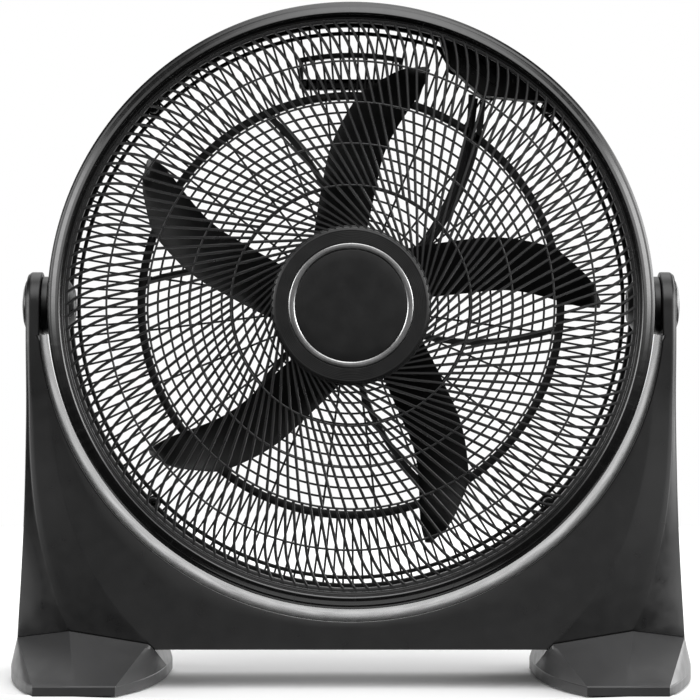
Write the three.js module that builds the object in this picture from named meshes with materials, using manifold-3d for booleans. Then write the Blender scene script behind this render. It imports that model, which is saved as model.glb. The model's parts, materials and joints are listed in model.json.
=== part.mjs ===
// Tilting floor fan. A round drum with a grille at each end hangs on two pivots between the arms of
// a U-shaped cradle, which stands on two spread feet. A five-blade fan turns on a motor in the drum.
// Millimetres, +Z up. The fan blows towards -Y, and the floor is Z = 0.
import * as THREE from 'three';
import { mergeVertices } from 'three/addons/utils/BufferGeometryUtils.js';
import { ConvexGeometry } from 'three/addons/geometries/ConvexGeometry.js';
import Module from 'manifold-3d';

const wasm = await Module();
wasm.setup();

// ---- Driving dimensions -----------------------------------------------------------------------

const GAP = 0.3; // left between pieces that touch
const PIVOT_Z = 337.5; // height of the tilt axis and of the fan's own axis
const FACETS = 40; // sides of the large round pieces
const SMALL_FACETS = 16; // sides of the motor and of the pivot pieces
const SCREW_FACETS = 8;

// Cradle
const TRIM_RADIUS = 277.6; // inner face of the silver trim that lines the throat
const TRIM_THICKNESS = 2.4;
const TRIM_TOP_Z = PIVOT_Z - 26.5;
const THROAT_RADIUS = TRIM_RADIUS + TRIM_THICKNESS + GAP;
const ARM_INNER_X = 277;
const ARM_OUTER_X = 290;
const ARM_TOP_RADIUS = 30;
const ARM_BEVEL = 3;
const CROSSBAR_Z = 35.6; // underside of the crossbar
const CRADLE_WALL = 3;
const CRADLE_SPLIT_Y = 14; // the front shell ends here and the rear cover begins

// Outlines of the cradle: [height, distance from the middle plane]
const LEVELS = [CROSSBAR_Z, 51, 69, 95, 130, 165, 200, 243, 265, 306, PIVOT_Z];
const SIDE_EDGE_X = [
  [35, 297.4], [54, 296.3], [95, 293.7], [138, 291.4], [202, 289.2], [255, 288.5], [338, 289.6],
];
const SIDE_EDGE_Y = [[35, 27], [131, 30], [243, 33], [306, 31], [338, 26]];
const FLANK_CREASE_X = [
  [35, 242], [51, 248.2], [69, 257], [95, 265.2], [130, 274.4], [165, 280.5], [200, 283.9],
  [254, 285.6], [338, 287],
];
const FLANK_CREASE_Y = [[35, 57], [141, 48], [243, 38.5], [306, 34], [338, 29]];
const PLATE_CREASE_X = [
  [35, 172], [62, 198], [97, 224], [131, 241], [165, 252.5], [200, 260.5], [250, 267.5],
];
const PLATE_Y = [[35, 65], [77, 60], [141, 52.5], [243, 40], [338, 30]];
const COVER_SCREWS = [[-262, 150], [-100, 50], [100, 50], [262, 150]];

// Feet. The roof is where a leg stands on its foot: [distance from the middle, height, half depth].
const FOOT_SOLE_Z = 1.2;
const FOOT_END_Y = 112;
const FOOT_RIM_Z = 9.7; // height of the upright edge at the front
const FOOT_RIM_RISE = 3; // how much higher that edge is from the widest point back
const FOOT_WIDEST_Y = 10;
const FOOT_ROOF = [[297, 42.4, 27], [248, 51.2, 55.6], [178, 40.8, 64.2], [171.7, CROSSBAR_Z, 65]];
const FOOT_PLAN = [
  [274, -FOOT_END_Y], [203, -FOOT_END_Y], [184, -72], [171.6, -27], [166.5, 10], [165, 70],
  [180, 102], [200, FOOT_END_Y], [278, FOOT_END_Y], [298, 97], [307, 60], [307, 10], [302.7, -18],
  [292.6, -60], [283, -90],
];
const PAD_LENGTH = 50;
const PAD_WIDTH = 16;
const PAD_X = 240;
const PAD_Y = 94;
const PAD_TOP_Z = 3.6;
const FOOT_SCREWS = [[-225, -20], [-225, 20], [225, -20], [225, 20]];

// Pivots
const PIVOT_BORE = 4.3;
const PIVOT_SHANK = 4;
const HEX_BORE = 5; // corner radius of a six-sided hole, so that its flats clear the shank
const BOSS_RADIUS = 24;
const BOSS_ROOT_RADIUS = 33; // the boss spreads to this where it meets the drum
const BOSS_NOSE_RADIUS = 14;
const BOSS_INNER_X = 248;
const BOSS_OUTER_X = 265;
const NUT_RADIUS = 8;
const NUT_DEPTH = 6;
const BOLT_HEAD_RADIUS = 9;
const BOLT_HEAD_HEIGHT = 4.8;
const DISC_RADIUS = 26;

// Head
const DRUM_RADIUS = 264;
const BEZEL_RADIUS = 265.3;
const DRUM_BORE = 260.5;
const DRUM_FRONT_Y = -61;
const DRUM_REAR_Y = 66;
const GRILLE_RADIUS = 250.4;
const GRILLE_RIM = 246.8;
const GRILLE_RIM_Y = -68;
const GRILLE_DEPTH = 3.5;
const GRILLE_RISE = 20; // how far the middle of the front grille stands proud of its rim
const GRILLE_RINGS = [68.4, 104.7, 141, 177.3, 213.6];
const HUB_RADIUS = 68.4;
const HUB_CAP_HEIGHT = 3.2;
const REAR_RADIUS = 260.1;
const REAR_FRONT_Y = 62;
const REAR_DEPTH = 4;
const REAR_BACK_Y = REAR_FRONT_Y + REAR_DEPTH;
const MOUNT_RADIUS = 62;
const THICK_RING = [189, 197];
const BAR_WIDTH = 3.4;

// Motor
const MOTOR_RADIUS = 47;
const MOTOR_WALL = 2.5;
const MOTOR_FRONT_Y = 6;
const MOTOR_SPLIT_Y = 33.85;
const MOTOR_REAR_Y = REAR_FRONT_Y - GAP;
const SHAFT_RADIUS = 4;
const MOTOR_SCREW_RADIUS = 36; // distance of the motor's screws from its axis

// Blade
const BLADE_COUNT = 5;
const BLADE_HUB_RADIUS = 56;
const BLADE_TIP_RADIUS = 222;
const BLADE_WIDTH = 49; // seen along the axis
const BLADE_FULL_RADIUS = 188; // beyond this the front edge is cut back towards the tip
const BLADE_SWEEP = 6.6; // degrees that the tip trails the root
const BLADE_THICKNESS = 3;
const BLADE_Y = -26;
const BLADE_REAR_ANGLE = -66; // where the first blade's rear edge leaves the hub

// Switch
const SWITCH_ANGLE = 58;
const SWITCH_DISTANCE = 242;
const SWITCH_FRONT_Y = 36;
const SWITCH_WALL = 2.5;
const GLAND_ANGLE = 66.5;
const GLAND_DISTANCE = 241;
const SCREW_CIRCLE = 256.3; // distance of the rear grille's screws from the fan's axis
const SCREW_ANGLES = [45, 135, 225, 315];

// Handle
const HANDLE_HALF = 48;
const HANDLE_BACK_Y = 102;
const HANDLE_GRIP = 14; // depth of the bar that the fingers close round
const HANDLE_WALL = 7;
const HANDLE_LOW = 201; // above the fan's axis
const HANDLE_BAR = 8;
const HANDLE_HIGH = 226;

// ---- Materials --------------------------------------------------------------------------------

const material = (color, roughness, metalness = 0) =>
  new THREE.MeshStandardMaterial({ color, roughness, metalness });

const MATERIALS = {
  cradle: material(0x2d2e30, 0.5),
  foot: material(0x3c3d3f, 0.55),
  trim: material(0xb4b6b8, 0.35, 0.8),
  bezel: material(0x2a2b2d, 0.25),
  grille: material(0x1c1c1e, 0.45),
  badge: material(0x8d9092, 0.3, 0.8),
  blade: material(0x0e0e0f, 0.35),
  rubber: material(0x151515, 0.9),
  steel: material(0xa5a8ab, 0.35, 1),
  copper: material(0xb4642c, 0.4, 1),
  motor: material(0x54585c, 0.5, 0.6),
};

// ---- Geometry helpers -------------------------------------------------------------------------

const radians = THREE.MathUtils.degToRad;

function solid(geometry) {
  const bare = geometry.clone();
  bare.deleteAttribute('normal');
  bare.deleteAttribute('uv');
  const merged = mergeVertices(bare, 1e-4);
  const mesh = { numProp: 3, vertProperties: merged.attributes.position.array };
  const count = merged.attributes.position.count;
  const indices = merged.index ? merged.index.array : [...Array(count).keys()];
  return new wasm.Manifold(new wasm.Mesh({ ...mesh, triVerts: Uint32Array.from(indices) }));
}

function geometryOf(body) {
  const mesh = body.getMesh();
  const geometry = new THREE.BufferGeometry();
  geometry.setAttribute('position', new THREE.BufferAttribute(mesh.vertProperties, 3));
  geometry.setIndex(new THREE.BufferAttribute(mesh.triVerts, 1));
  geometry.computeVertexNormals();
  return geometry;
}

// A closed [radius, y] profile turned about the Y axis, with its faces out whichever way it runs.
function turned(profile, facets = FACETS) {
  const area = profile.reduce((sum, [r, y], i) => {
    const [nextR, nextY] = profile[(i + 1) % profile.length];
    return sum + r * nextY - nextR * y;
  }, 0);
  const ordered = area > 0 ? profile : [...profile].reverse();
  const start = Math.max(0, ordered.findIndex(([r], i) => r === 0 && ordered.at(i - 1)[0] === 0));
  const loop = [...ordered.slice(start), ...ordered.slice(0, start)];
  const closed = loop[0][0] === 0 ? loop : [...loop, loop[0]];
  return new THREE.LatheGeometry(closed.map(([r, y]) => new THREE.Vector2(r, y)), facets);
}

// The same, lying along X: the profile's second number is then the distance along X.
const turnedAlongX = (profile, facets = SMALL_FACETS) => turned(profile, facets).rotateZ(-Math.PI / 2);

const turnedAlongZ = (profile, facets = SCREW_FACETS) => turned(profile, facets).rotateX(Math.PI / 2);

const ringProfile = (inner, outer, from, to) => [[inner, from], [outer, from], [outer, to], [inner, to]];

const rod = (radius, from, to) => ringProfile(0, radius, from, to);

// An outline in X and Z, pushed through from one Y to another.
function extruded(shape, fromY, toY) {
  const options = { depth: toY - fromY, bevelEnabled: false, curveSegments: FACETS / 2 };
  return new THREE.ExtrudeGeometry(shape, options).rotateX(Math.PI / 2).translate(0, toY, 0);
}

const outline = (points) => new THREE.Shape(points.map(([x, z]) => new THREE.Vector2(x, z)));

function block(x, y, z) {
  const size = [x, y, z].map(([low, high]) => high - low);
  const middle = [x, y, z].map(([low, high]) => (low + high) / 2);
  return new THREE.BoxGeometry(...size).translate(...middle);
}

const polar = (radius, degrees) => [radius * Math.cos(radians(degrees)), radius * Math.sin(radians(degrees))];

// A piece made about the fan's axis, moved sideways from it and up to its height.
const atHub = (geometry, x = 0, z = 0) => geometry.translate(x, 0, PIVOT_Z + z);

const aboutAxis = (profile, facets = SMALL_FACETS) => solid(atHub(turned(profile, facets)));

const hull = (points) => solid(new ConvexGeometry(points.map((point) => new THREE.Vector3(...point))));

const mirrored = (body, side) => (side > 0 ? body : body.mirror([1, 0, 0]));

const unite = (bodies) => bodies.reduce((whole, body) => whole.add(body));

// ---- Cradle -----------------------------------------------------------------------------------

function along(keys, height) {
  const next = keys.findIndex(([level]) => level >= height);
  if (next === -1) return keys.at(-1)[1];
  if (next === 0) return keys[0][1];
  const [[lowZ, low], [highZ, high]] = [keys[next - 1], keys[next]];
  return low + ((high - low) * (height - lowZ)) / (highZ - lowZ);
}

function cradleSection(height, inset) {
  const corners = [
    [along(SIDE_EDGE_X, height) - inset, along(SIDE_EDGE_Y, height) - inset],
    [along(FLANK_CREASE_X, height) - inset, along(FLANK_CREASE_Y, height) - inset],
    [along(PLATE_CREASE_X, height), along(PLATE_Y, height) - inset],
  ];
  const back = [...corners, ...[...corners].reverse().map(([x, y]) => [-x, y])];
  return [...back, ...[...back].reverse().map(([x, y]) => [x, -y])];
}

// Convex sections stacked upwards and skinned into one closed body.
function stacked(sections, heights) {
  const count = sections[0].length;
  const positions = sections.flatMap((section, i) => section.flatMap(([x, y]) => [x, y, heights[i]]));
  const triangles = [];
  for (let level = 0; level + 1 < sections.length; level += 1) {
    for (let i = 0; i < count; i += 1) {
      const [a, b] = [level * count + i, level * count + ((i + 1) % count)];
      triangles.push(a, b, b + count, a, b + count, a + count);
    }
  }
  const top = (sections.length - 1) * count;
  for (let i = 1; i + 1 < count; i += 1) {
    triangles.push(0, i + 1, i, top, top + i, top + i + 1);
  }
  const geometry = new THREE.BufferGeometry();
  geometry.setAttribute('position', new THREE.Float32BufferAttribute(positions, 3));
  geometry.setIndex(triangles);
  return geometry;
}

// The legs and crossbar as one block with rounded arm tops, before the throat is cut out of it.
function cradleBlock(inset) {
  const heights = LEVELS.map((height, i) => (i === 0 ? height + inset : height));
  const sections = heights.map((height) => cradleSection(height, inset));
  const legs = solid(stacked(sections, heights));
  const reach = ARM_OUTER_X - inset;
  const radius = ARM_TOP_RADIUS - inset;
  const profile = [
    [0, -reach], [radius - ARM_BEVEL, -reach], [radius, ARM_BEVEL - reach],
    [radius, reach - ARM_BEVEL], [radius - ARM_BEVEL, reach], [0, reach],
  ];
  return legs.add(solid(atHub(turnedAlongX(profile))));
}

function throat(inset) {
  const across = ARM_INNER_X + inset;
  const top = TRIM_TOP_Z + inset;
  const round = solid(atHub(turned(rod(THROAT_RADIUS + inset, -100, 100), FACETS * 2)));
  const above = solid(block([-across, across], [-100, 100], [top, 500]));
  return round.trimByPlane([0, 0, -1], -top).add(above);
}

function footRoof(inset, side) {
  const points = FOOT_ROOF.map(([x, z]) => [x - inset, z + inset]);
  const low = CROSSBAR_Z - 10;
  const shape = outline([[320, low], [320, points[0][1]], ...points, [points.at(-1)[0], low]]);
  return mirrored(solid(extruded(shape, -100, 100)), side);
}

function cradleSolid(inset) {
  const cuts = [throat(inset), footRoof(inset, 1), footRoof(inset, -1)];
  return cradleBlock(inset).subtract(unite(cuts));
}

const SIDES = [['left', -1], ['right', 1]];

// A round body along Y at one of the cover's screws, `radius` thick.
const atCoverScrew = (radius, from, to) => ([x, z]) =>
  solid(turned(rod(radius, from, to), SCREW_FACETS).translate(x, 0, z));

// The front shell's screw posts meet the cover's screw tubes where the two shells part.
const screwPost = atCoverScrew(5, -80, CRADLE_SPLIT_Y);
const screwTube = atCoverScrew(6.5, CRADLE_SPLIT_Y + GAP, 80);
const screwPilot = atCoverScrew(2.2, 0, 40);
const screwWell = atCoverScrew(4.3, CRADLE_SPLIT_Y + 3.3, 80);
const footScrewHole = ([x, y]) => solid(turnedAlongZ(rod(2.4, 30, 60)).translate(x, y, 0));

function pivotBores() {
  const shank = solid(atHub(turnedAlongX(rod(PIVOT_BORE, -285, 285), 12)));
  const access = SIDES.map(([, side]) =>
    mirrored(solid(atHub(turnedAlongX(rod(10.6, ARM_OUTER_X - 5, 300), 12))), side));
  return unite([shank, ...access]);
}

const cradleWalls = cradleSolid(0).subtract(cradleSolid(CRADLE_WALL));

function cradleFrontShell() {
  const front = cradleWalls.trimByPlane([0, -1, 0], -CRADLE_SPLIT_Y);
  const inside = cradleSolid(CRADLE_WALL / 2);
  return unite([front, ...COVER_SCREWS.map((place) => screwPost(place).intersect(inside))])
    .subtract(unite([pivotBores(), ...COVER_SCREWS.map(screwPilot), ...FOOT_SCREWS.map(footScrewHole)]));
}

function cradleRearCover() {
  const rear = cradleWalls.trimByPlane([0, 1, 0], CRADLE_SPLIT_Y + GAP);
  const inside = cradleSolid(CRADLE_WALL / 2);
  return unite([rear, ...COVER_SCREWS.map((place) => screwTube(place).intersect(inside))])
    .subtract(unite([
      pivotBores(), ...COVER_SCREWS.map(screwPilot), ...COVER_SCREWS.map(screwWell),
      ...FOOT_SCREWS.map(footScrewHole),
    ]));
}

function saddleTrim() {
  const band = ringProfile(TRIM_RADIUS, TRIM_RADIUS + TRIM_THICKNESS, -66, 66);
  return solid(atHub(turned(band, FACETS * 2)))
    .trimByPlane([0, 0, -1], GAP - TRIM_TOP_Z)
    .intersect(cradleBlock(0));
}

// ---- Feet -------------------------------------------------------------------------------------

function footHull() {
  const rimZ = (y) =>
    FOOT_RIM_Z + FOOT_RIM_RISE * Math.min(1, (y + FOOT_END_Y) / (FOOT_WIDEST_Y + FOOT_END_Y));
  const points = FOOT_PLAN.flatMap(([x, y]) => [[x, y, FOOT_SOLE_Z], [x, y, rimZ(y)]]);
  const roof = FOOT_ROOF.flatMap(([x, z, depth]) => [[x, -depth, z - GAP], [x, depth, z - GAP]]);
  return hull([...points, ...roof]);
}

// The hollow under a foot, which leaves solid ends for the pads.
function footPocket() {
  const floor = [[190, -60], [284, -60], [294, 0], [286, 72], [190, 72], [174, 20]];
  const ceiling = [[200, 38], [248, 46], [282, 39]];
  const low = floor.map(([x, y]) => [x, y, 0]);
  const high = ceiling.flatMap(([x, z]) => [[x, -34, z], [x, 34, z]]);
  return hull([...low, ...high]);
}

function padOutline(grow) {
  const end = PAD_LENGTH / 2 - PAD_WIDTH / 2;
  const shape = new THREE.Shape();
  shape.absarc(end, 0, PAD_WIDTH / 2 + grow, -Math.PI / 2, Math.PI / 2);
  shape.absarc(-end, 0, PAD_WIDTH / 2 + grow, Math.PI / 2, 1.5 * Math.PI);
  return shape;
}

function padBody(x, y, grow) {
  const options = { depth: PAD_TOP_Z + grow, bevelEnabled: false, curveSegments: 3 };
  return solid(new THREE.ExtrudeGeometry(padOutline(grow), options).translate(x, y, 0));
}

function foot(side) {
  const hollow = [footPocket(), padBody(PAD_X, PAD_Y, GAP), padBody(PAD_X, -PAD_Y, GAP)];
  const whole = mirrored(footHull().subtract(unite(hollow)), side);
  return whole.subtract(unite(FOOT_SCREWS.map(footScrewHole)));
}

// ---- Fasteners --------------------------------------------------------------------------------

// A screw whose head starts at `seat` and whose shank runs on towards `tip`.
function screwProfile(headRadius, headHeight, shankRadius, seat, tip) {
  const back = seat + Math.sign(seat - tip) * headHeight;
  const head = [[0, back], [headRadius, back], [headRadius, seat]];
  return [...head, [shankRadius, seat], [shankRadius, tip], [0, tip]];
}

const screwAlongY = (x, z, seat, tip, shank = 1.9, head = 3.8) =>
  solid(turned(screwProfile(head, 2.6, shank, seat, tip), SCREW_FACETS).translate(x, 0, z));

const footScrew = ([x, y]) =>
  solid(turnedAlongZ(screwProfile(3.6, 2.6, 1.9, 39.5, 56)).translate(x, y, 0));

// ---- Pivots -----------------------------------------------------------------------------------

const pivotPiece = (profile, side, facets) => mirrored(solid(atHub(turnedAlongX(profile, facets))), side);

const frictionDisc = (side) =>
  pivotPiece(ringProfile(PIVOT_BORE, DISC_RADIUS, BOSS_OUTER_X + GAP, ARM_INNER_X - GAP), side);

function pivotBolt(side) {
  const seat = ARM_INNER_X + CRADLE_WALL + GAP;
  const profile = screwProfile(BOLT_HEAD_RADIUS, BOLT_HEAD_HEIGHT, PIVOT_SHANK, seat, BOSS_INNER_X + 1);
  return pivotPiece(profile, side, 12);
}

// The nut sits in a six-sided pocket in the nose of the drum's boss.
const NUT_END_X = BOSS_INNER_X + GAP + NUT_DEPTH;
const pivotNut = (side) =>
  pivotPiece(ringProfile(HEX_BORE, NUT_RADIUS, BOSS_INNER_X + GAP, NUT_END_X), side, 6);
const nutPocket = (side) => pivotPiece(rod(NUT_RADIUS + 0.4, BOSS_INNER_X - 1, NUT_END_X + GAP), side, 6);

function pivotCap(side) {
  const face = ARM_OUTER_X + GAP;
  const profile = [
    [0, face + 4.8], [13, face + 3.8], [20, face + 2], [23, face], [10.2, face],
    [10.2, face - 3.6], [0, face - 3.6],
  ];
  return pivotPiece(profile, side, SMALL_FACETS);
}

// ---- Grilles ----------------------------------------------------------------------------------

// A sector-shaped window between two radii, with half a bar left free on each side of it.
function sectorWindow(inner, outer, start, end) {
  const inset = (radius) => THREE.MathUtils.radToDeg(BAR_WIDTH / 2 / radius);
  const corners = [
    polar(inner, start + inset(inner)), polar(outer, start + inset(outer)),
    polar(outer, end - inset(outer)), polar(inner, end - inset(inner)),
  ];
  return new THREE.Path(corners.map(([x, z]) => new THREE.Vector2(x, z)));
}

// A round plate pierced by rows of windows. A row is [inner radius, outer radius, window count].
function piercedPlate(radius, rows, isOpen = () => true) {
  const plate = new THREE.Shape();
  plate.absarc(0, 0, radius, 0, 2 * Math.PI);
  for (const [inner, outer, count] of rows) {
    const step = 360 / count;
    for (let i = 0; i < count; i += 1) {
      if (isOpen(inner, i * step, (i + 1) * step)) {
        plate.holes.push(sectorWindow(inner, outer, i * step, (i + 1) * step));
      }
    }
  }
  return plate;
}

// Moves every point forward by the height of a shallow dome at its distance from the fan's axis.
function domed(geometry, rise, rimRadius) {
  const position = geometry.attributes.position;
  for (let i = 0; i < position.count; i += 1) {
    const share = Math.hypot(position.getX(i), position.getZ(i)) / rimRadius;
    position.setY(i, position.getY(i) - rise * (1 - Math.min(1, share) ** 2));
  }
  return geometry;
}

function frontGrille() {
  const edges = [...GRILLE_RINGS, GRILLE_RIM + BAR_WIDTH / 2];
  const rows = GRILLE_RINGS.map((ring, i) =>
    [ring + BAR_WIDTH / 2, edges[i + 1] - BAR_WIDTH / 2, i === 0 ? 12 : 18]);
  const plate = piercedPlate(GRILLE_RADIUS, rows);
  const flat = extruded(plate, GRILLE_RIM_Y - GRILLE_DEPTH, GRILLE_RIM_Y);
  return solid(atHub(domed(flat, GRILLE_RISE, GRILLE_RADIUS)));
}

function hubFrontY() {
  return GRILLE_RIM_Y - GRILLE_DEPTH - GRILLE_RISE - GAP;
}

// The cap over the grille's centre has a groove for the badge ring.
function hubCover() {
  const back = hubFrontY();
  const face = back - HUB_CAP_HEIGHT;
  const profile = [
    [0, back], [HUB_RADIUS - 6, back], [HUB_RADIUS - 1.5, face + 1], [HUB_RADIUS - 3, face],
    [54.7, face], [54.7, face + 1.6], [48.5, face + 1.6], [48.5, face], [0, face],
  ];
  return aboutAxis(profile, FACETS / 2);
}

function badgeRing() {
  const face = hubFrontY() - HUB_CAP_HEIGHT;
  return aboutAxis(ringProfile(48.8, 54.3, face - 0.2, face + 1.3), FACETS / 2);
}

const grilleScrewPlaces = SCREW_ANGLES.map((angle) => polar(SCREW_CIRCLE, angle));
const motorScrewPlaces = SCREW_ANGLES.map((angle) => polar(MOTOR_SCREW_RADIUS, angle));
const [knobX, knobZ] = polar(SWITCH_DISTANCE, SWITCH_ANGLE);
const [glandX, glandZ] = polar(GLAND_DISTANCE, GLAND_ANGLE);

const holeAtHub = (radius, x, z) => solid(atHub(turned(rod(radius, 0, 100), SCREW_FACETS), x, z));

function rearGrille() {
  const rows = [[MOUNT_RADIUS, 100, 12], [104, 144, 18], [148, THICK_RING[0], 18], [THICK_RING[1], 250, 24]];
  const behindSwitch = (start, end) => start >= 45 && end <= 75;
  const isOpen = (inner, start, end) => inner !== THICK_RING[1] || !behindSwitch(start, end);
  const plate = piercedPlate(REAR_RADIUS, rows, isOpen);
  const holes = [...grilleScrewPlaces, ...motorScrewPlaces].map(([x, z]) => holeAtHub(2.3, x, z));
  return solid(atHub(extruded(plate, REAR_FRONT_Y, REAR_BACK_Y)))
    .subtract(unite([...holes, holeAtHub(3.4, knobX, knobZ), holeAtHub(3.4, glandX, glandZ)]));
}

// ---- Drum -------------------------------------------------------------------------------------

function drumShell() {
  const profile = [
    [DRUM_BORE, DRUM_FRONT_Y], [DRUM_RADIUS, DRUM_FRONT_Y], [DRUM_RADIUS, 20],
    [DRUM_RADIUS - 1, DRUM_REAR_Y - 3], [DRUM_RADIUS - 3, DRUM_REAR_Y], [DRUM_BORE, DRUM_REAR_Y],
  ];
  const boss = [
    [0, BOSS_INNER_X], [BOSS_NOSE_RADIUS, BOSS_INNER_X], [BOSS_ROOT_RADIUS, BOSS_OUTER_X - 4.5],
    [BOSS_RADIUS, BOSS_OUTER_X - 3], [BOSS_RADIUS, BOSS_OUTER_X], [0, BOSS_OUTER_X],
  ];
  const bosses = SIDES.map(([, side]) => pivotPiece(boss, side));
  const pockets = SIDES.map(([, side]) => nutPocket(side));
  const screwBosses = grilleScrewPlaces.map(([x, z]) =>
    solid(atHub(turned(rod(5, 44, REAR_FRONT_Y - GAP), SCREW_FACETS), x, z)));
  const bore = solid(atHub(turnedAlongX(rod(PIVOT_BORE, -300, 300), 12)));
  const pilots = grilleScrewPlaces.map(([x, z]) => holeAtHub(2.1, x, z).trimByPlane([0, 1, 0], 50));
  const holes = unite([bore, ...pockets, ...pilots]);
  return unite([solid(atHub(turned(profile))), ...bosses, ...screwBosses]).subtract(holes);
}

function bezelRing() {
  const back = DRUM_FRONT_Y - GAP;
  const seat = GRILLE_RADIUS + GAP;
  const profile = [
    [BEZEL_RADIUS, back], [BEZEL_RADIUS, -74], [261.2, -79.3], [257.4, -80.3], [254, -79.2],
    [253.4, -72], [seat, -72], [seat, -66], [259, -64], [259, back],
  ];
  return solid(atHub(turned(profile)));
}

function carryHandle() {
  const front = REAR_BACK_Y + GAP;
  const [half, inner] = [HANDLE_HALF, HANDLE_HALF - HANDLE_WALL];
  const [back, corner] = [HANDLE_BACK_Y, HANDLE_BACK_Y - 8];
  const plan = outline([
    [-half, front], [-inner, front], [-inner, back - HANDLE_GRIP], [inner, back - HANDLE_GRIP],
    [inner, front], [half, front], [half, corner], [half - 8, back], [8 - half, back], [-half, corner],
  ]);
  const options = { depth: HANDLE_BAR, bevelEnabled: false };
  const bar = solid(new THREE.ExtrudeGeometry(plan, options).translate(0, 0, PIVOT_Z + HANDLE_LOW));
  const heights = [PIVOT_Z + HANDLE_LOW, PIVOT_Z + HANDLE_HIGH];
  const plate = solid(block([half - 4, half], [front, front + 16], heights));
  const plates = SIDES.map(([, side]) => mirrored(plate, side));
  return unite([bar, ...plates]);
}

// ---- Switch -----------------------------------------------------------------------------------

// The box fills a piece of the drum's bore: an arc on the outside and three straight inner walls.
function switchOutline(inset) {
  const shape = new THREE.Shape();
  const reach = DRUM_BORE - 4 * GAP - inset;
  shape.absarc(0, 0, reach, radians(46 + inset / 4), radians(72 - inset / 4));
  shape.lineTo(90 + inset, 219 + inset);
  shape.lineTo(119 + inset / 2, 192 + inset);
  shape.lineTo(166 - inset, 187 + inset);
  return shape;
}

function switchBox() {
  const back = REAR_FRONT_Y - GAP;
  const outer = solid(atHub(extruded(switchOutline(0), SWITCH_FRONT_Y, back)));
  const hollow = solid(atHub(extruded(switchOutline(SWITCH_WALL), SWITCH_FRONT_Y + SWITCH_WALL, back + 10)));
  return outer.subtract(hollow);
}

const rotarySwitch = () => solid(atHub(turned(ringProfile(3.4, 9.5, 42, 59), 12), knobX, knobZ));

function speedKnob() {
  const front = REAR_BACK_Y + GAP;
  const face = front + 12;
  const profile = [[0, 50], [3, 50], [3, front], [15, front], [16, front + 4], [14.5, face], [0, face]];
  const ridge = solid(atHub(block([-2.2, 2.2], [face - 4, face + 5], [-13, 13]), knobX, knobZ));
  return solid(atHub(turned(profile, 20), knobX, knobZ)).add(ridge);
}

function cordGland() {
  const front = REAR_BACK_Y + GAP;
  const profile = [[3.6, front], [8, front], [7, front + 6], [5.6, front + 20], [3.6, front + 20]];
  return solid(atHub(turned(profile, 16), glandX, glandZ));
}

// The lead from the switch box to the motor runs just in front of the rear grille, along a bar that
// leans to one side. Its places are [distance from the fan's axis, angle, y].
function motorLead() {
  const places = [[222, 59, 50], [167, 51, 57], [117, 44, 57], [49, 35, 48]];
  const points = places.map(([distance, angle, y]) => {
    const [x, z] = polar(distance, angle);
    return new THREE.Vector3(x, y, z);
  });
  const path = new THREE.CatmullRomCurve3(points);
  const section = new THREE.Shape();
  section.absarc(0, 0, 2.5, 0, 2 * Math.PI);
  return solid(atHub(new THREE.ExtrudeGeometry(section, { steps: 10, curveSegments: 4, extrudePath: path })));
}

// ---- Motor ------------------------------------------------------------------------------------

// Half of the motor's casing: a cup with a bearing pocket. `end` is the flat end's Y.
function motorBracket(end, mouth) {
  const inwards = Math.sign(mouth - end);
  const floor = end + inwards * MOTOR_WALL;
  const profile = [
    [5, end], [MOTOR_RADIUS, end], [MOTOR_RADIUS, mouth], [MOTOR_RADIUS - MOTOR_WALL, mouth],
    [MOTOR_RADIUS - MOTOR_WALL, floor], [11.5, floor], [11.5, end + inwards * 13],
    [8.3, end + inwards * 13], [8.3, floor], [5, floor],
  ];
  return solid(atHub(turned(profile, SMALL_FACETS)));
}

function motorRearBracket() {
  const holes = motorScrewPlaces.map(([x, z]) => holeAtHub(2.2, x, z).trimByPlane([0, 1, 0], 50));
  return motorBracket(MOTOR_REAR_Y, MOTOR_SPLIT_Y + GAP / 2).subtract(unite(holes));
}

function motorCover() {
  const front = REAR_BACK_Y + GAP;
  return aboutAxis([
    [60, front], [60, front + 11], [52, front + 22], [0, front + 26], [0, front + 23.5],
    [51, front + 19.6], [57.5, front + 10], [57.5, front],
  ]);
}

const capacitor = () => solid(atHub(block([-18, 18], [REAR_BACK_Y + 1, REAR_BACK_Y + 15], [-10, 8])));

// ---- Fan --------------------------------------------------------------------------------------

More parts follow.
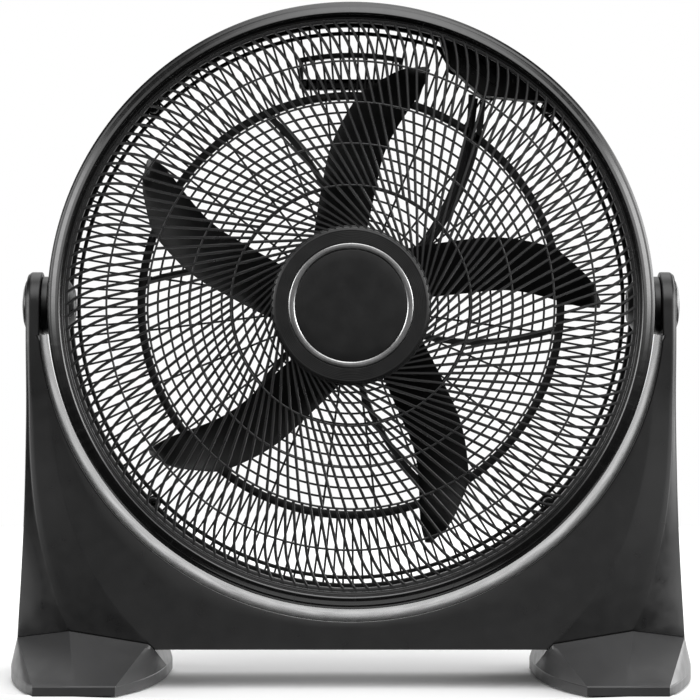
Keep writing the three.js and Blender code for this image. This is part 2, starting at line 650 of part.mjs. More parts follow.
// One blade as a grid of points: twisted, swept back, with its front edge cut back towards the tip.
function bladeBody() {
  const [radialSteps, chordSteps] = [5, 2];
  const rootRadius = BLADE_HUB_RADIUS - 1.5;
  const point = (i, j, side) => {
    const share = i / radialSteps;
    const radius = rootRadius + (BLADE_TIP_RADIUS - rootRadius) * share;
    const sweep = -BLADE_SWEEP * THREE.MathUtils.smoothstep(radius, 126, 217);
    const beyond = Math.max(0, radius - BLADE_FULL_RADIUS) / (BLADE_TIP_RADIUS - BLADE_FULL_RADIUS);
    const across = THREE.MathUtils.radToDeg(BLADE_WIDTH / radius) * (1 - 0.85 * beyond ** 1.3);
    const turn = BLADE_REAR_ANGLE + sweep + (across * j) / chordSteps;
    const [x, z] = polar(radius, turn);
    const pitch = (34 - 16 * share) * (0.5 - j / chordSteps);
    return [x, BLADE_Y + pitch + (side * BLADE_THICKNESS) / 2, z];
  };
  const positions = [];
  for (const side of [-1, 1]) {
    for (let i = 0; i <= radialSteps; i += 1) {
      for (let j = 0; j <= chordSteps; j += 1) positions.push(...point(i, j, side));
    }
  }
  const columns = chordSteps + 1;
  const half = (radialSteps + 1) * columns;
  const front = (i, j) => i * columns + j;
  const triangles = [];
  const quad = (a, b, c, d) => triangles.push(a, b, c, a, c, d);
  for (let i = 0; i < radialSteps; i += 1) {
    for (let j = 0; j < chordSteps; j += 1) {
      const corners = [front(i, j), front(i + 1, j), front(i + 1, j + 1), front(i, j + 1)];
      quad(...corners);
      quad(...[...corners].reverse().map((corner) => corner + half));
    }
  }
  const rim = [];
  for (let j = 0; j < chordSteps; j += 1) rim.push(front(0, j));
  for (let i = 0; i < radialSteps; i += 1) rim.push(front(i, chordSteps));
  for (let j = chordSteps; j > 0; j -= 1) rim.push(front(radialSteps, j));
  for (let i = radialSteps; i > 0; i -= 1) rim.push(front(i, 0));
  rim.forEach((corner, i) => {
    const next = rim[(i + 1) % rim.length];
    quad(corner, next, next + half, corner + half);
  });
  const geometry = new THREE.BufferGeometry();
  geometry.setAttribute('position', new THREE.Float32BufferAttribute(positions, 3));
  geometry.setIndex(triangles);
  return solid(geometry);
}

function fanBlade() {
  const hub = solid(turned([
    [PIVOT_BORE, -46], [50, -44], [BLADE_HUB_RADIUS, -38], [BLADE_HUB_RADIUS, -8],
    [BLADE_HUB_RADIUS - 3, -8], [BLADE_HUB_RADIUS - 3, -37], [48, -41], [12, -42], [12, -20],
    [PIVOT_BORE, -20],
  ], SMALL_FACETS));
  const blade = bladeBody();
  const blades = Array.from({ length: BLADE_COUNT }, (_, i) => blade.rotate([0, (360 / BLADE_COUNT) * i, 0]));
  return unite([hub, ...blades]).translate([0, 0, PIVOT_Z]);
}

const BLADE_NUT = [[0, -62], [9, -62], [12, -58], [12, -46.3], [HEX_BORE, -46.3], [HEX_BORE, -57], [0, -57]];

// ---- Assembly ---------------------------------------------------------------------------------

const group = new THREE.Group();
group.name = 'tilting_floor_fan';

function add(name, body, look) {
  const mesh = new THREE.Mesh(geometryOf(body), MATERIALS[look].clone());
  mesh.name = name;
  group.add(mesh);
}

add('cradle_front_shell', cradleFrontShell(), 'cradle');
add('cradle_rear_cover', cradleRearCover(), 'cradle');
add('saddle_trim', saddleTrim(), 'trim');
COVER_SCREWS.forEach(([x, z], i) => {
  add(`cover_screw_${i + 1}`, screwAlongY(x, z, CRADLE_SPLIT_Y + 3.6, 3), 'steel');
});
FOOT_SCREWS.forEach((place, i) => add(`foot_screw_${i + 1}`, footScrew(place), 'steel'));

for (const [name, side] of SIDES) {
  add(`${name}_foot`, foot(side), 'foot');
  add(`${name}_foot_pad_front`, padBody(side * PAD_X, -PAD_Y, 0), 'rubber');
  add(`${name}_foot_pad_rear`, padBody(side * PAD_X, PAD_Y, 0), 'rubber');
  add(`${name}_friction_disc`, frictionDisc(side), 'cradle');
  add(`${name}_pivot_cap`, pivotCap(side), 'bezel');
  add(`${name}_pivot_bolt`, pivotBolt(side), 'steel');
  add(`${name}_pivot_nut`, pivotNut(side), 'steel');
}

add('drum_shell', drumShell(), 'grille');
add('bezel_ring', bezelRing(), 'bezel');
add('front_grille', frontGrille(), 'grille');
add('hub_cover', hubCover(), 'cradle');
add('badge_ring', badgeRing(), 'badge');
add('rear_grille', rearGrille(), 'grille');
add('carry_handle', carryHandle(), 'grille');
add('switch_box', switchBox(), 'grille');
add('rotary_switch', rotarySwitch(), 'motor');
add('cord_gland', cordGland(), 'rubber');
add('motor_lead', motorLead(), 'rubber');
grilleScrewPlaces.forEach(([x, z], i) => {
  add(`grille_screw_${i + 1}`, screwAlongY(x, PIVOT_Z + z, REAR_BACK_Y + GAP, 52), 'steel');
});

add('motor_front_bracket', motorBracket(MOTOR_FRONT_Y, MOTOR_SPLIT_Y - GAP / 2), 'motor');
add('motor_rear_bracket', motorRearBracket(), 'motor');
add('stator_core', aboutAxis(ringProfile(27, 43.8, 24, 44)), 'motor');
add('front_winding', aboutAxis(ringProfile(29, 41, 17, 23.7)), 'copper');
add('rear_winding', aboutAxis(ringProfile(29, 41, 44.3, 49)), 'copper');
add('front_bearing', aboutAxis(ringProfile(PIVOT_BORE, 7.9, 8.8, 18.5), 12), 'steel');
add('rear_bearing', aboutAxis(ringProfile(PIVOT_BORE, 7.9, 49, 58.8), 12), 'steel');
add('motor_cover', motorCover(), 'grille');
add('capacitor', capacitor(), 'motor');
motorScrewPlaces.forEach(([x, z], i) => {
  add(`motor_screw_${i + 1}`, screwAlongY(x, PIVOT_Z + z, REAR_BACK_Y + GAP, 51), 'steel');
});

add('fan_blade', fanBlade(), 'blade');
add('motor_shaft', aboutAxis(rod(SHAFT_RADIUS, -56, 57), 12), 'steel');
add('rotor_core', aboutAxis(ringProfile(PIVOT_BORE, 26.5, 24, 44)), 'motor');
add('blade_nut', aboutAxis(BLADE_NUT, 6), 'bezel');
add('speed_knob', speedKnob(), 'bezel');

export default group;
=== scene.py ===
import json
import math

import bmesh
import bpy
import numpy as np
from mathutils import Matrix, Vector


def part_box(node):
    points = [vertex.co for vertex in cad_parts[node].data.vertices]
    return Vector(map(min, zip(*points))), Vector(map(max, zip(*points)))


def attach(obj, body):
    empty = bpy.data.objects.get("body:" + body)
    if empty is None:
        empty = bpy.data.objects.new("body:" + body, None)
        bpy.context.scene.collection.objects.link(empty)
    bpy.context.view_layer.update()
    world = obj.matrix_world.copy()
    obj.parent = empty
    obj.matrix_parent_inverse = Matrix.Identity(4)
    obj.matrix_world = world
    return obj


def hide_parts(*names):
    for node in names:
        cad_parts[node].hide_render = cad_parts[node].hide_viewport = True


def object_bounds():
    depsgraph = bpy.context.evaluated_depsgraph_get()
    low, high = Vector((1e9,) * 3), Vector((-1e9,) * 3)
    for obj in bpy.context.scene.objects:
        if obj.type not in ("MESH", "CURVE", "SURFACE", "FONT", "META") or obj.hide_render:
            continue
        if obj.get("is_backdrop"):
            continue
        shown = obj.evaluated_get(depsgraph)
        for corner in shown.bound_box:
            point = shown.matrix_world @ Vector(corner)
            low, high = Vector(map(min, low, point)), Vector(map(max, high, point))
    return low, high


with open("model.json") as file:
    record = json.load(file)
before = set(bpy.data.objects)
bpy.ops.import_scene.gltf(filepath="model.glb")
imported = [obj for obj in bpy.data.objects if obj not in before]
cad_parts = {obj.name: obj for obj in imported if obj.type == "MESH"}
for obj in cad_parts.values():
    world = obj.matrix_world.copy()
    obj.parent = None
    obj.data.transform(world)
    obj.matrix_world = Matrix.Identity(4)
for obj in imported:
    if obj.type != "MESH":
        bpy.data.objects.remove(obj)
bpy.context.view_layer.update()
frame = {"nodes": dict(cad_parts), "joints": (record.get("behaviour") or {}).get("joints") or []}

# Looks of a tilting floor fan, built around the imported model. Lengths are in millimetres until
# made_mesh() turns them into metres. Heights are above the floor, radii are from the fan's axis,
# and the fan blows towards -Y.

MM = 0.001


def span(node):
    low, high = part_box(node)
    return np.array(low) / MM, np.array(high) / MM


def depth_span(node):
    low, high = span(node)
    return low[1], high[1]


JOINT_PLACES = {joint["name"]: np.array(joint["pos_m"]) / MM for joint in frame["joints"]}
HUB = JOINT_PLACES["head_tilt"]
PIVOT_Z = float(HUB[2])
KNOB = JOINT_PLACES["knob_turn"]

# ---- Driving dimensions ----

GAP = 0.3

# Cradle, as in the CAD source. Its outlines and depths are [height, distance from the middle plane].
THROAT_RADIUS = 280.3
TRIM_INNER = 277.6
TRIM_OUTER = 280.0
TRIM_TOP_Z = PIVOT_Z - 26.5
TRIM_RECESS = 1.9  # how far the trim's edges lie behind the cradle's faces
LIP = 2.1  # how far the cradle's edge reaches over the trim
ARM_INNER_X = 277.0
ARM_OUTER_X = 290.0
ARM_TOP_RADIUS = 30.0
CRADLE_WALL = 3.0
CRADLE_SPLIT_Y = 14.0
CRADLE_EDGE = 1.1  # radius of the cradle's outer edges
CREASE_WIDTH = 1.4  # half width of the rounding along each crease
WELL_RADIUS = 5.6
SIDE_X = [
    [35, 297.4], [54, 296.3], [95, 293.7], [138, 291.4], [202, 289.2], [255, 288.5], [306, 289.2],
    [338, 289.7]]
SIDE_Y = [[35, 27], [131, 30], [243, 33], [306, 31], [338, 27]]
FLANK_X = [
    [35, 242], [51, 248.2], [69, 257], [95, 265.2], [130, 274.4], [165, 280.5], [200, 283.9], [254, 285.6],
    [338, 287]]
FLANK_Y = [[35, 57], [141, 48], [243, 38.5], [306, 34], [338, 30]]
PLATE_X = [[35, 172], [62, 198], [97, 224], [131, 241], [165, 252.5], [200, 260.5], [250, 267.5]]
PLATE_Y = [[35, 65], [77, 60], [141, 52.5], [243, 40], [338, 30]]
CROSSBAR_Z = 35.6
SEAM = [[171.7, CROSSBAR_Z], [178, 40.8], [248, 51.2], [297, 42.4]]  # where a leg meets its foot

# Feet: plan at the rim, and half depth of the seam at each of its points
FOOT_SOLE_Z = 1.2
FOOT_RIM_Z = 9.7
FOOT_RIM_RISE = 3.0
FOOT_END_Y = 112.0
SEAM_DEPTH = [65, 64.2, 55.6, 27]
FOOT_MIDDLE_X = 240.0
POCKET_LOW = [192, -60]
POCKET_HIGH = [284, 70]
POCKET_TOP_Z = 34.0
PAD_Y = 94.0
PAD_TOP = 3.6

# Pivots, along X
PIVOT_BORE = 4.3
DRUM_SIDE_X = 265.3
DISC_RADIUS = 26.0

# Drum, along Y
DRUM_BORE = 260.5
DRUM_RADIUS = 264.0
DRUM_FRONT_Y = -61.0
DRUM_REAR_Y = 66.0
BEZEL_RADIUS = 265.3

# Grilles
SWIRL_RADIUS = 58.0  # the front spokes are tangent to this circle
# Each zone's spokes: from radius, to radius, how many, their turn in degrees, and points on each
FRONT_ZONES = [
    (68.4, 104.7, 63, 0.52, 5),
    (104.7, 177.3, 110, 1.18, 12),
    (177.3, 250.2, 146, 0.18, 12),
]
FRONT_RINGS = [68.8, 104.7, 141.0, 177.3, 213.6]
REAR_FRONT_Y = 62.0
REAR_BACK_Y = 66.0
REAR_RING_STEP = 9.8
LEAN_PER_MM = 0.14  # degrees that a thick rib of the rear guard leans over
LEAN_FROM = 187.0
CHANNEL_ANGLE = 53.5
SCREW_CIRCLE = 256.3
SCREW_ANGLES = (45, 135, 225, 315)

# Fan blades: radii, width along the arc, and height of the front edge above the rear one
BLADE_COUNT = 5
BLADE_ROOT = 54.5
BLADE_TIP = 222.0
BLADE_FULL_RADIUS = 188.0
BLADE_WIDTH = 49.0
BLADE_SWEEP = 6.6
BLADE_SWEEP_START = 126.0
BLADE_SWEEP_END = 217.0
BLADE_PITCH = 34.0
BLADE_MIDDLE_Y = -26.0
FIRST_BLADE = -66.0  # degrees

# Camera, in metres and degrees
CAMERA_PLACE = (-0.0009, -2.5, 0.3375)
CAMERA_TILT = 90.0
CAMERA_LENS = 142.9
CAMERA_SENSOR = 36.0
CAMERA_SHIFT = -0.0636

# Floor disc
FLOOR_RADIUS = 1000.0
FLOOR_MIDDLE_Y = 868.0

# Studio: glow of the room, and of each soft box in it: direction, strength, and the cosines of the
# angles from its middle at which it starts and is full
ROOM_GLOW = 0.05
SOFTBOXES = [
    ((0.1, -0.55, 0.83), 4.0, 0.82, 0.97),
    ((-0.70, -0.70, 0.20), 2.4, 0.91, 0.98),
    ((0.68, -0.70, 0.25), 2.4, 0.90, 0.98),
    ((0.95, -0.25, 0.15), 8.0, 0.90, 0.97),
    ((0.85, 0.5, 0.15), 5.0, 0.85, 0.96),
    ((-0.95, -0.25, 0.15), 6.0, 0.90, 0.97),
    ((0.0, 0.4, 0.95), 2.3, 0.85, 0.98),
    ((0.3, -0.9, 0.25), 0.5, 0.75, 0.97),
    ((0.0, 1.0, 0.1), 0.9, 0.70, 0.90),
]

# ---- Materials ----


def new_material(name):
    material = bpy.data.materials.new(name)
    material.use_nodes = True
    tree = material.node_tree
    shader = tree.nodes["Principled BSDF"]
    place = tree.nodes.new("ShaderNodeTexCoord").outputs["Object"]
    return material, tree, shader, place


def noise_node(tree, place, size_mm, detail=2.0):
    noise = tree.nodes.new("ShaderNodeTexNoise")
    noise.inputs["Scale"].default_value = 1000.0 / size_mm
    noise.inputs["Detail"].default_value = detail
    tree.links.new(place, noise.inputs["Vector"])
    return noise.outputs["Fac"]


def remapped(tree, value, low, high, from_low=0.3, from_high=0.7):
    node = tree.nodes.new("ShaderNodeMapRange")
    node.inputs["From Min"].default_value = from_low
    node.inputs["From Max"].default_value = from_high
    node.inputs["To Min"].default_value = low
    node.inputs["To Max"].default_value = high
    tree.links.new(value, node.inputs["Value"])
    return node.outputs["Result"]


def math_node(tree, operation, *values):
    node = tree.nodes.new("ShaderNodeMath")
    node.operation = operation
    for value, socket in zip(values, node.inputs):
        tree.links.new(value, socket)
    return node.outputs["Value"]


def mottled(tree, value, dark, light):
    ramp = tree.nodes.new("ShaderNodeValToRGB")
    ramp.color_ramp.elements[0].position = 0.3
    ramp.color_ramp.elements[0].color = (*dark, 1)
    ramp.color_ramp.elements[1].position = 0.7
    ramp.color_ramp.elements[1].color = (*light, 1)
    tree.links.new(value, ramp.inputs["Fac"])
    return ramp.outputs["Color"]


def bumped(tree, height, distance_mm):
    bump = tree.nodes.new("ShaderNodeBump")
    bump.inputs["Strength"].default_value = 1.0
    bump.inputs["Distance"].default_value = distance_mm * MM
    tree.links.new(height, bump.inputs["Height"])
    return bump.outputs["Normal"]


def shade(value, share, tint=(1.0, 1.0, 1.0)):
    """A tone made darker and lighter by a share of itself."""
    return [tuple(value * k * t for t in tint) for k in (1 - share, 1 + share)]


def wire(tree, shader, colour, roughness, normal):
    tree.links.new(colour, shader.inputs["Base Color"])
    tree.links.new(roughness, shader.inputs["Roughness"])
    tree.links.new(normal, shader.inputs["Normal"])


def plastic(name, value, roughness, grain_mm=0.7, grain_depth=0.03, tint=(1.0, 1.0, 1.02), gloss=0.4):
    """Moulded plastic: a spark-eroded grain, slow changes of tone, and a broken-up gloss."""
    material, tree, shader, place = new_material(name)
    shader.inputs["Specular IOR Level"].default_value = gloss
    cloud = noise_node(tree, place, 45.0, 3.0)
    grain = noise_node(tree, place, grain_mm, 1.0)
    smear = noise_node(tree, place, 14.0, 4.0)
    colour = mottled(tree, cloud, *shade(value, 0.08, tint))
    gloss_map = remapped(tree, smear, roughness - 0.04, roughness + 0.05)
    wire(tree, shader, colour, gloss_map, bumped(tree, grain, grain_depth))
    return material


def metal(name, value, roughness, stretch, grain_mm=0.5, grain_depth=0.01, tint=(1.0, 1.0, 1.0)):
    """Brushed or drawn metal: grain stretched along one axis, with streaks in its tone."""
    material, tree, shader, place = new_material(name)
    mapping = tree.nodes.new("ShaderNodeMapping")
    mapping.inputs["Scale"].default_value = stretch
    tree.links.new(place, mapping.inputs["Vector"])
    streaks = noise_node(tree, mapping.outputs["Vector"], grain_mm, 3.0)
    cloud = noise_node(tree, place, 30.0, 2.0)
    colour = mottled(tree, streaks, *shade(value, 0.12, tint))
    gloss_map = remapped(tree, cloud, roughness - 0.05, roughness + 0.05)
    wire(tree, shader, colour, gloss_map, bumped(tree, streaks, grain_depth))
    shader.inputs["Metallic"].default_value = 1.0
    return material


def bezel_material():
    """Gloss plastic with a fine turned grain that runs round the ring."""
    material, tree, shader, place = new_material("gloss_bezel")
    mapping = tree.nodes.new("ShaderNodeMapping")
    mapping.inputs["Location"].default_value = (0, 0, -PIVOT_Z * MM)
    tree.links.new(place, mapping.inputs["Vector"])
    parts = tree.nodes.new("ShaderNodeSeparateXYZ")
    tree.links.new(mapping.outputs["Vector"], parts.inputs["Vector"])
    turn = tree.nodes.new("ShaderNodeMath")
    turn.operation = "ARCTAN2"
    tree.links.new(parts.outputs["Z"], turn.inputs[0])
    tree.links.new(parts.outputs["X"], turn.inputs[1])
    flat = tree.nodes.new("ShaderNodeCombineXYZ")
    tree.links.new(turn.outputs["Value"], flat.inputs["X"])
    tree.links.new(parts.outputs["Y"], flat.inputs["Y"])
    streaks = tree.nodes.new("ShaderNodeTexNoise")
    streaks.inputs["Scale"].default_value = 60.0
    streaks.inputs["Detail"].default_value = 4.0
    tree.links.new(flat.outputs["Vector"], streaks.inputs["Vector"])
    fine = noise_node(tree, place, 0.9, 2.0)
    colour = mottled(tree, streaks.outputs["Fac"], *shade(0.004, 0.15))
    gloss_map = remapped(tree, streaks.outputs["Fac"], 0.20, 0.28)
    wire(tree, shader, colour, gloss_map, bumped(tree, fine, 0.012))
    shader.inputs["Coat Weight"].default_value = 0.35
    shader.inputs["Coat Roughness"].default_value = 0.18
    return material


MATERIALS = {
    "cradle_plastic": plastic("cradle_plastic", 0.0055, 0.31),
    "foot_plastic": plastic("foot_plastic", 0.024, 0.36),
    "hub_plastic": plastic("hub_plastic", 0.005, 0.36, grain_mm=0.5, grain_depth=0.01),
    "silver_trim": metal("silver_trim", 0.30, 0.20, (1.0, 0.05, 1.0), grain_depth=0.001),
    "gloss_bezel": bezel_material(),
    "grille_plastic": plastic("grille_plastic", 0.013, 0.30, grain_mm=0.5, grain_depth=0.01, gloss=0.5),
    "badge_silver": metal("badge_silver", 0.32, 0.32, (1.0, 1.0, 1.0), grain_mm=2.0, grain_depth=0.001),
    "blade_plastic": plastic("blade_plastic", 0.006, 0.34, grain_mm=0.9, grain_depth=0.01),
    "rubber": plastic("rubber", 0.012, 0.75, grain_mm=0.6, grain_depth=0.05),
    "steel": metal("steel", 0.55, 0.32, (1.0, 0.3, 1.0), grain_mm=0.4),
    "copper": metal("copper", 0.5, 0.35, (1.0, 8.0, 1.0), tint=(1.3, 0.62, 0.35)),
    "motor_steel": metal("motor_steel", 0.22, 0.45, (1.0, 0.4, 1.0), grain_mm=0.8),
    "electrical_plastic": plastic("electrical_plastic", 0.05, 0.5),
}


# ---- Mesh helpers ----


def rounded(points, steps=4):
    """A closed outline whose points are (a, b) or (a, b, radius); a radius rounds that corner."""
    made = []
    count = len(points)
    for i, point in enumerate(points):
        here = np.array(point[:2], float)
        radius = point[2] if len(point) > 2 else 0.0
        if radius == 0:
            made.append(here)
            continue
        before = np.array(points[i - 1][:2], float) - here
        after = np.array(points[(i + 1) % count][:2], float) - here
        before /= np.linalg.norm(before)
        after /= np.linalg.norm(after)
        half = math.acos(max(-1.0, min(1.0, float(before @ after)))) / 2
        reach = radius / math.tan(half)
        start, end = here + before * reach, here + after * reach
        middle = here + (before + after) / np.linalg.norm(before + after) * radius / math.sin(half)
        a0, a1 = start - middle, end - middle
        turn = math.pi - 2 * half
        for k in range(steps + 1):
            share = k / steps
            mix = a0 * math.sin((1 - share) * turn) + a1 * math.sin(share * turn)
            made.append(middle + mix / math.sin(turn))
    return np.array(made)


def skinned(rows, closed_rows=False, closed_loops=True, caps=True):
    """Quads between rows of points. Returns (vertices, faces)."""
    rows = np.asarray(rows, float)
    count, width = rows.shape[:2]
    row_ids = np.arange(count if closed_rows else count - 1)
    column_ids = np.arange(width if closed_loops else width - 1)
    r, c = np.meshgrid(row_ids, column_ids, indexing="ij")
    r2, c2 = (r + 1) % count, (c + 1) % width
    quads = np.stack([r * width + c, r * width + c2, r2 * width + c2, r2 * width + c], -1)
    faces = [tuple(q) for q in quads.reshape(-1, 4).tolist()]
    if caps and not closed_rows:
        faces.append(tuple(range(width - 1, -1, -1)))
        faces.append(tuple(range((count - 1) * width, count * width)))
    return rows.reshape(-1, 3), faces


def joined(*shapes):
    """Several shapes as one, each with its own points."""
    vertices, faces, start = [], [], 0
    for points, polygons in shapes:
        vertices.append(points)
        faces.extend(tuple(i + start for i in polygon) for polygon in polygons)
        start += len(points)
    return np.concatenate(vertices), faces


def turned(profile, segments=192, axis="y", centre=HUB):
    """A closed (radius, distance) outline turned about the Y or X line through centre."""
    profile = np.asarray(profile, float)
    angles = np.arange(segments) / segments * 2 * math.pi
    cos, sin = np.cos(angles)[:, None], np.sin(angles)[:, None]
    radius, along = profile[:, 0][None, :], profile[:, 1][None, :] + 0 * cos
    if axis == "y":
        rows = np.stack([radius * cos, along, radius * sin], -1) + [centre[0], 0, centre[2]]
    else:
        rows = np.stack([along, radius * cos, radius * sin], -1) + [0, centre[1], centre[2]]
    return skinned(rows, closed_rows=True)


def pins(profile, segments, radius, angles, centre=HUB):
    """Copies of a small turned shape, each about its own axis, on a circle about the centre."""
    places = [polar(radius, angle) for angle in angles]
    return [turned(profile, segments, centre=centre + [x, 0, z]) for x, z in places]


def moved(shape, offset):
    return shape[0] + np.asarray(offset, float), shape[1]


def rotated_y(shape, degrees):
    angle = math.radians(degrees)
    x, y, z = shape[0].T
    turned_x = x * math.cos(angle) - z * math.sin(angle)
    turned_z = x * math.sin(angle) + z * math.cos(angle)
    return np.stack([turned_x, y, turned_z], 1), shape[1]


def mirrored_x(shape):
    return shape[0] * [-1, 1, 1], [tuple(reversed(polygon)) for polygon in shape[1]]


def inset_outline(points, distance):
    """The same outline moved inwards, for a counterclockwise one."""
    points = np.asarray(points, float)
    ahead = np.roll(points, -1, 0) - points
    ahead /= np.maximum(np.linalg.norm(ahead, axis=1, keepdims=True), 1e-9)
    behind = np.roll(ahead, 1, 0)
    normal = np.stack([-(ahead + behind)[:, 1], (ahead + behind)[:, 0]], 1)
    length = np.linalg.norm(normal, axis=1, keepdims=True)
    normal /= np.maximum(length, 1e-9)
    stretch = np.clip(length / 2, 0.35, 1.0)
    return points + normal * distance / stretch


def slab(outline, low, high, edge=0.6, axis="y"):
    """An outline in X and Z (or X and Y) pushed from low to high, with chamfered edges."""
    levels = [(low, edge), (low + edge, 0.0), (high - edge, 0.0), (high, edge)]
    rows = []
    for level, inset in levels:
        flat = inset_outline(outline, inset) if inset else np.asarray(outline, float)
        depth = np.full(len(flat), level)
        columns = [flat[:, 0], depth, flat[:, 1]] if axis == "y" else [flat[:, 0], flat[:, 1], depth]
        rows.append(np.stack(columns, 1))
    return skinned(rows)


def bars(paths, section):
    """One closed bar along each path. The section is (across, towards +Y) points."""
    paths = np.asarray(paths, float)
    ahead = np.gradient(paths, axis=1)
    across = np.stack([-ahead[..., 2], np.zeros(ahead.shape[:2]), ahead[..., 0]], -1)
    across /= np.linalg.norm(across, axis=-1, keepdims=True)
    section = np.asarray(section, float)
    points = paths[:, :, None, :] + across[:, :, None, :] * section[:, 0][:, None]
    points[..., 1] += section[:, 1]
    count, stations, width = points.shape[:3]
    one = skinned(points[0])[1]
    faces = [tuple(i + k * stations * width for i in polygon) for k in range(count) for polygon in one]
    return points.reshape(-1, 3), faces


def polar(radius, degrees):
    """Flat points at a radius and an angle."""
    angle = np.radians(degrees)
    return np.stack([radius * np.cos(angle), radius * np.sin(angle)], -1)


def at_hub(flat, y):
    """Flat (x, z) points about the fan's axis, as points in the frame."""
    flat = np.asarray(flat, float)
    return np.stack([flat[..., 0] + HUB[0], y + 0 * flat[..., 0], flat[..., 1] + HUB[2]], -1)


def fanned(radius, turn, y):
    """One path for each row of turns, which crosses the radii in order, at the given Y."""
    return at_hub(polar(radius[None, :] + 0 * turn, turn), y + 0 * turn)


def spread(count, start=0.0):
    """Angles of `count` equal parts of a circle."""
    return np.arange(count) * 360 / count + start


def made_mesh(name, shape):
    """A Blender mesh of a shape, in metres, with merged points and outward faces."""
    mesh = bpy.data.meshes.new(name)
    mesh.from_pydata((shape[0] * MM).tolist(), [], shape[1])
    work = bmesh.new()
    work.from_mesh(mesh)
    bmesh.ops.remove_doubles(work, verts=work.verts, dist=2e-6)
    bmesh.ops.dissolve_degenerate(work, edges=work.edges, dist=1e-6)
    bmesh.ops.recalc_face_normals(work, faces=work.faces)
    work.to_mesh(mesh)
    work.free()
    return mesh


def add_piece(name, shape, look, body, nodes=(), angle=32):
    """Adds a piece that rides on a body and replaces CAD nodes. Edges over `angle` stay sharp."""
    mesh = made_mesh(name, shape)
    mesh.polygons.foreach_set("use_smooth", [True] * len(mesh.polygons))
    mesh.set_sharp_from_angle(angle=math.radians(angle))
    mesh.update()
    piece = bpy.data.objects.new(name, mesh)
    bpy.context.scene.collection.objects.link(piece)
    mesh.materials.append(MATERIALS[look])
    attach(piece, body)
    if nodes:
        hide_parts(*nodes)
    return piece


# ---- Cradle ----


def smooth(keys, at):
    """A smooth curve through [place, value] keys, level beyond the last ones."""
    place, value = np.array(keys, float).T
    slope = np.gradient(value, place)
    at = np.clip(np.asarray(at, float), place[0], place[-1])
    i = np.clip(np.searchsorted(place, at) - 1, 0, len(place) - 2)
    step = place[i + 1] - place[i]
    t = (at - place[i]) / step
    rise = (1 - t) ** 2 * (1 + 2 * t) * value[i] + t**2 * (3 - 2 * t) * value[i + 1]
    return rise + step * (t * (1 - t) ** 2 * slope[i] - t**2 * (1 - t) * slope[i + 1])


def cradle_depth(x, z):
    """Half depth of the cradle at a point of its front view."""
    side_x, flank_x, plate_x = smooth(SIDE_X, z), smooth(FLANK_X, z), smooth(PLATE_X, z)
    side_y, flank_y, plate_y = smooth(SIDE_Y, z), smooth(FLANK_Y, z), smooth(PLATE_Y, z)
    outer = flank_y + (side_y - flank_y) * (x - flank_x) / (side_x - flank_x)
    middle = plate_y + (flank_y - plate_y) * (x - plate_x) / (flank_x - plate_x)
    return np.where(x > flank_x, outer, np.where(x > plate_x, middle, plate_y))


def soft_depth(x, z):
    """The same, with its creases rounded."""
    offsets = np.linspace(-1, 1, 7) * CREASE_WIDTH
    return np.mean([cradle_depth(x + offset, z) for offset in offsets], axis=0)


def along_polyline(points, steps):
    """Points along straight legs, with steps[i] equal parts on leg i."""
    points = np.array(points, float)
    made = [points[0]]
    for start, end, count in zip(points, points[1:], steps):
        for k in range(1, count + 1):
            made.append(start + (end - start) * k / count)
    return np.array(made)


def throat_point(angle):
    """Front view of the throat's arc, at an angle from straight down."""
    return np.array([THROAT_RADIUS * math.sin(angle), PIVOT_Z - THROAT_RADIUS * math.cos(angle)])


def cradle_rows():
    """Pairs of (throat point, outer point) in the front view, from the middle to the pivot."""
    bottom = along_polyline([[0, CROSSBAR_Z], *SEAM], [18, 2, 16, 12])
    key_x = [0, *[x for x, z in SEAM]]
    key_angle = [0, 31, 33, 45, 54]
    pairs = [(throat_point(math.radians(np.interp(q[0], key_x, key_angle))), q) for q in bottom]
    first_z, level_z = SEAM[-1][1], 306.0
    first_throat_z = pairs[-1][0][1]
    for z in np.linspace(first_z, level_z, 40)[1:]:
        lift = (first_throat_z - first_z) * ((level_z - z) / (level_z - first_z)) ** 1.6
        angle = math.acos((PIVOT_Z - z - lift) / THROAT_RADIUS)
        pairs.append((throat_point(angle), np.array([smooth(SIDE_X, z), z])))
    top = TRIM_TOP_Z
    ledge = throat_point(math.acos((PIVOT_Z - top) / THROAT_RADIUS))
    pairs.append((ledge, np.array([smooth(SIDE_X, top), top])))
    for z in [top, 320.0, 326.0, 332.0, PIVOT_Z]:
        pairs.append((np.array([ARM_INNER_X, z]), np.array([smooth(SIDE_X, z), z])))
    return pairs


def crossing(start, end, keys):
    """How far along the line from start to end the crease lies, from 0 to 1."""
    t = np.linspace(0, 1, 201)
    x = start[0] + (end[0] - start[0]) * t
    z = start[1] + (end[1] - start[1]) * t
    beyond = x > smooth(keys, z)
    return float(t[np.argmax(beyond)]) if beyond.any() else 1.0


def refined_crossing(start, end, keys):
    """The same, halved down to a fine step."""
    low = max(0.0, crossing(start, end, keys) - 0.006)
    high = min(1.0, low + 0.012)
    for _ in range(24):
        middle = (low + high) / 2
        x, z = np.array(start) + (np.array(end) - np.array(start)) * middle
        if x > smooth(keys, z):
            high = middle
        else:
            low = middle
    return high


def front_columns(start, end, lip):
    """Distances along the line from the throat to the outer edge, closer together at the creases."""
    length = float(np.linalg.norm(end - start))
    plate = refined_crossing(start, end, PLATE_X) * length
    flank = max(plate, refined_crossing(start, end, FLANK_X) * length)
    width = CREASE_WIDTH
    places = [
        np.linspace(-lip, plate - width, 5),
        [plate - width / 2, plate, plate + width / 2],
        np.linspace(plate + width, flank - width, 6),
        [flank - width / 2, flank, flank + width / 2],
        np.linspace(flank + width, length, 5),
    ]
    places = np.clip(np.concatenate(places), CRADLE_EDGE - lip, length - CRADLE_EDGE)
    return np.maximum.accumulate(places), length


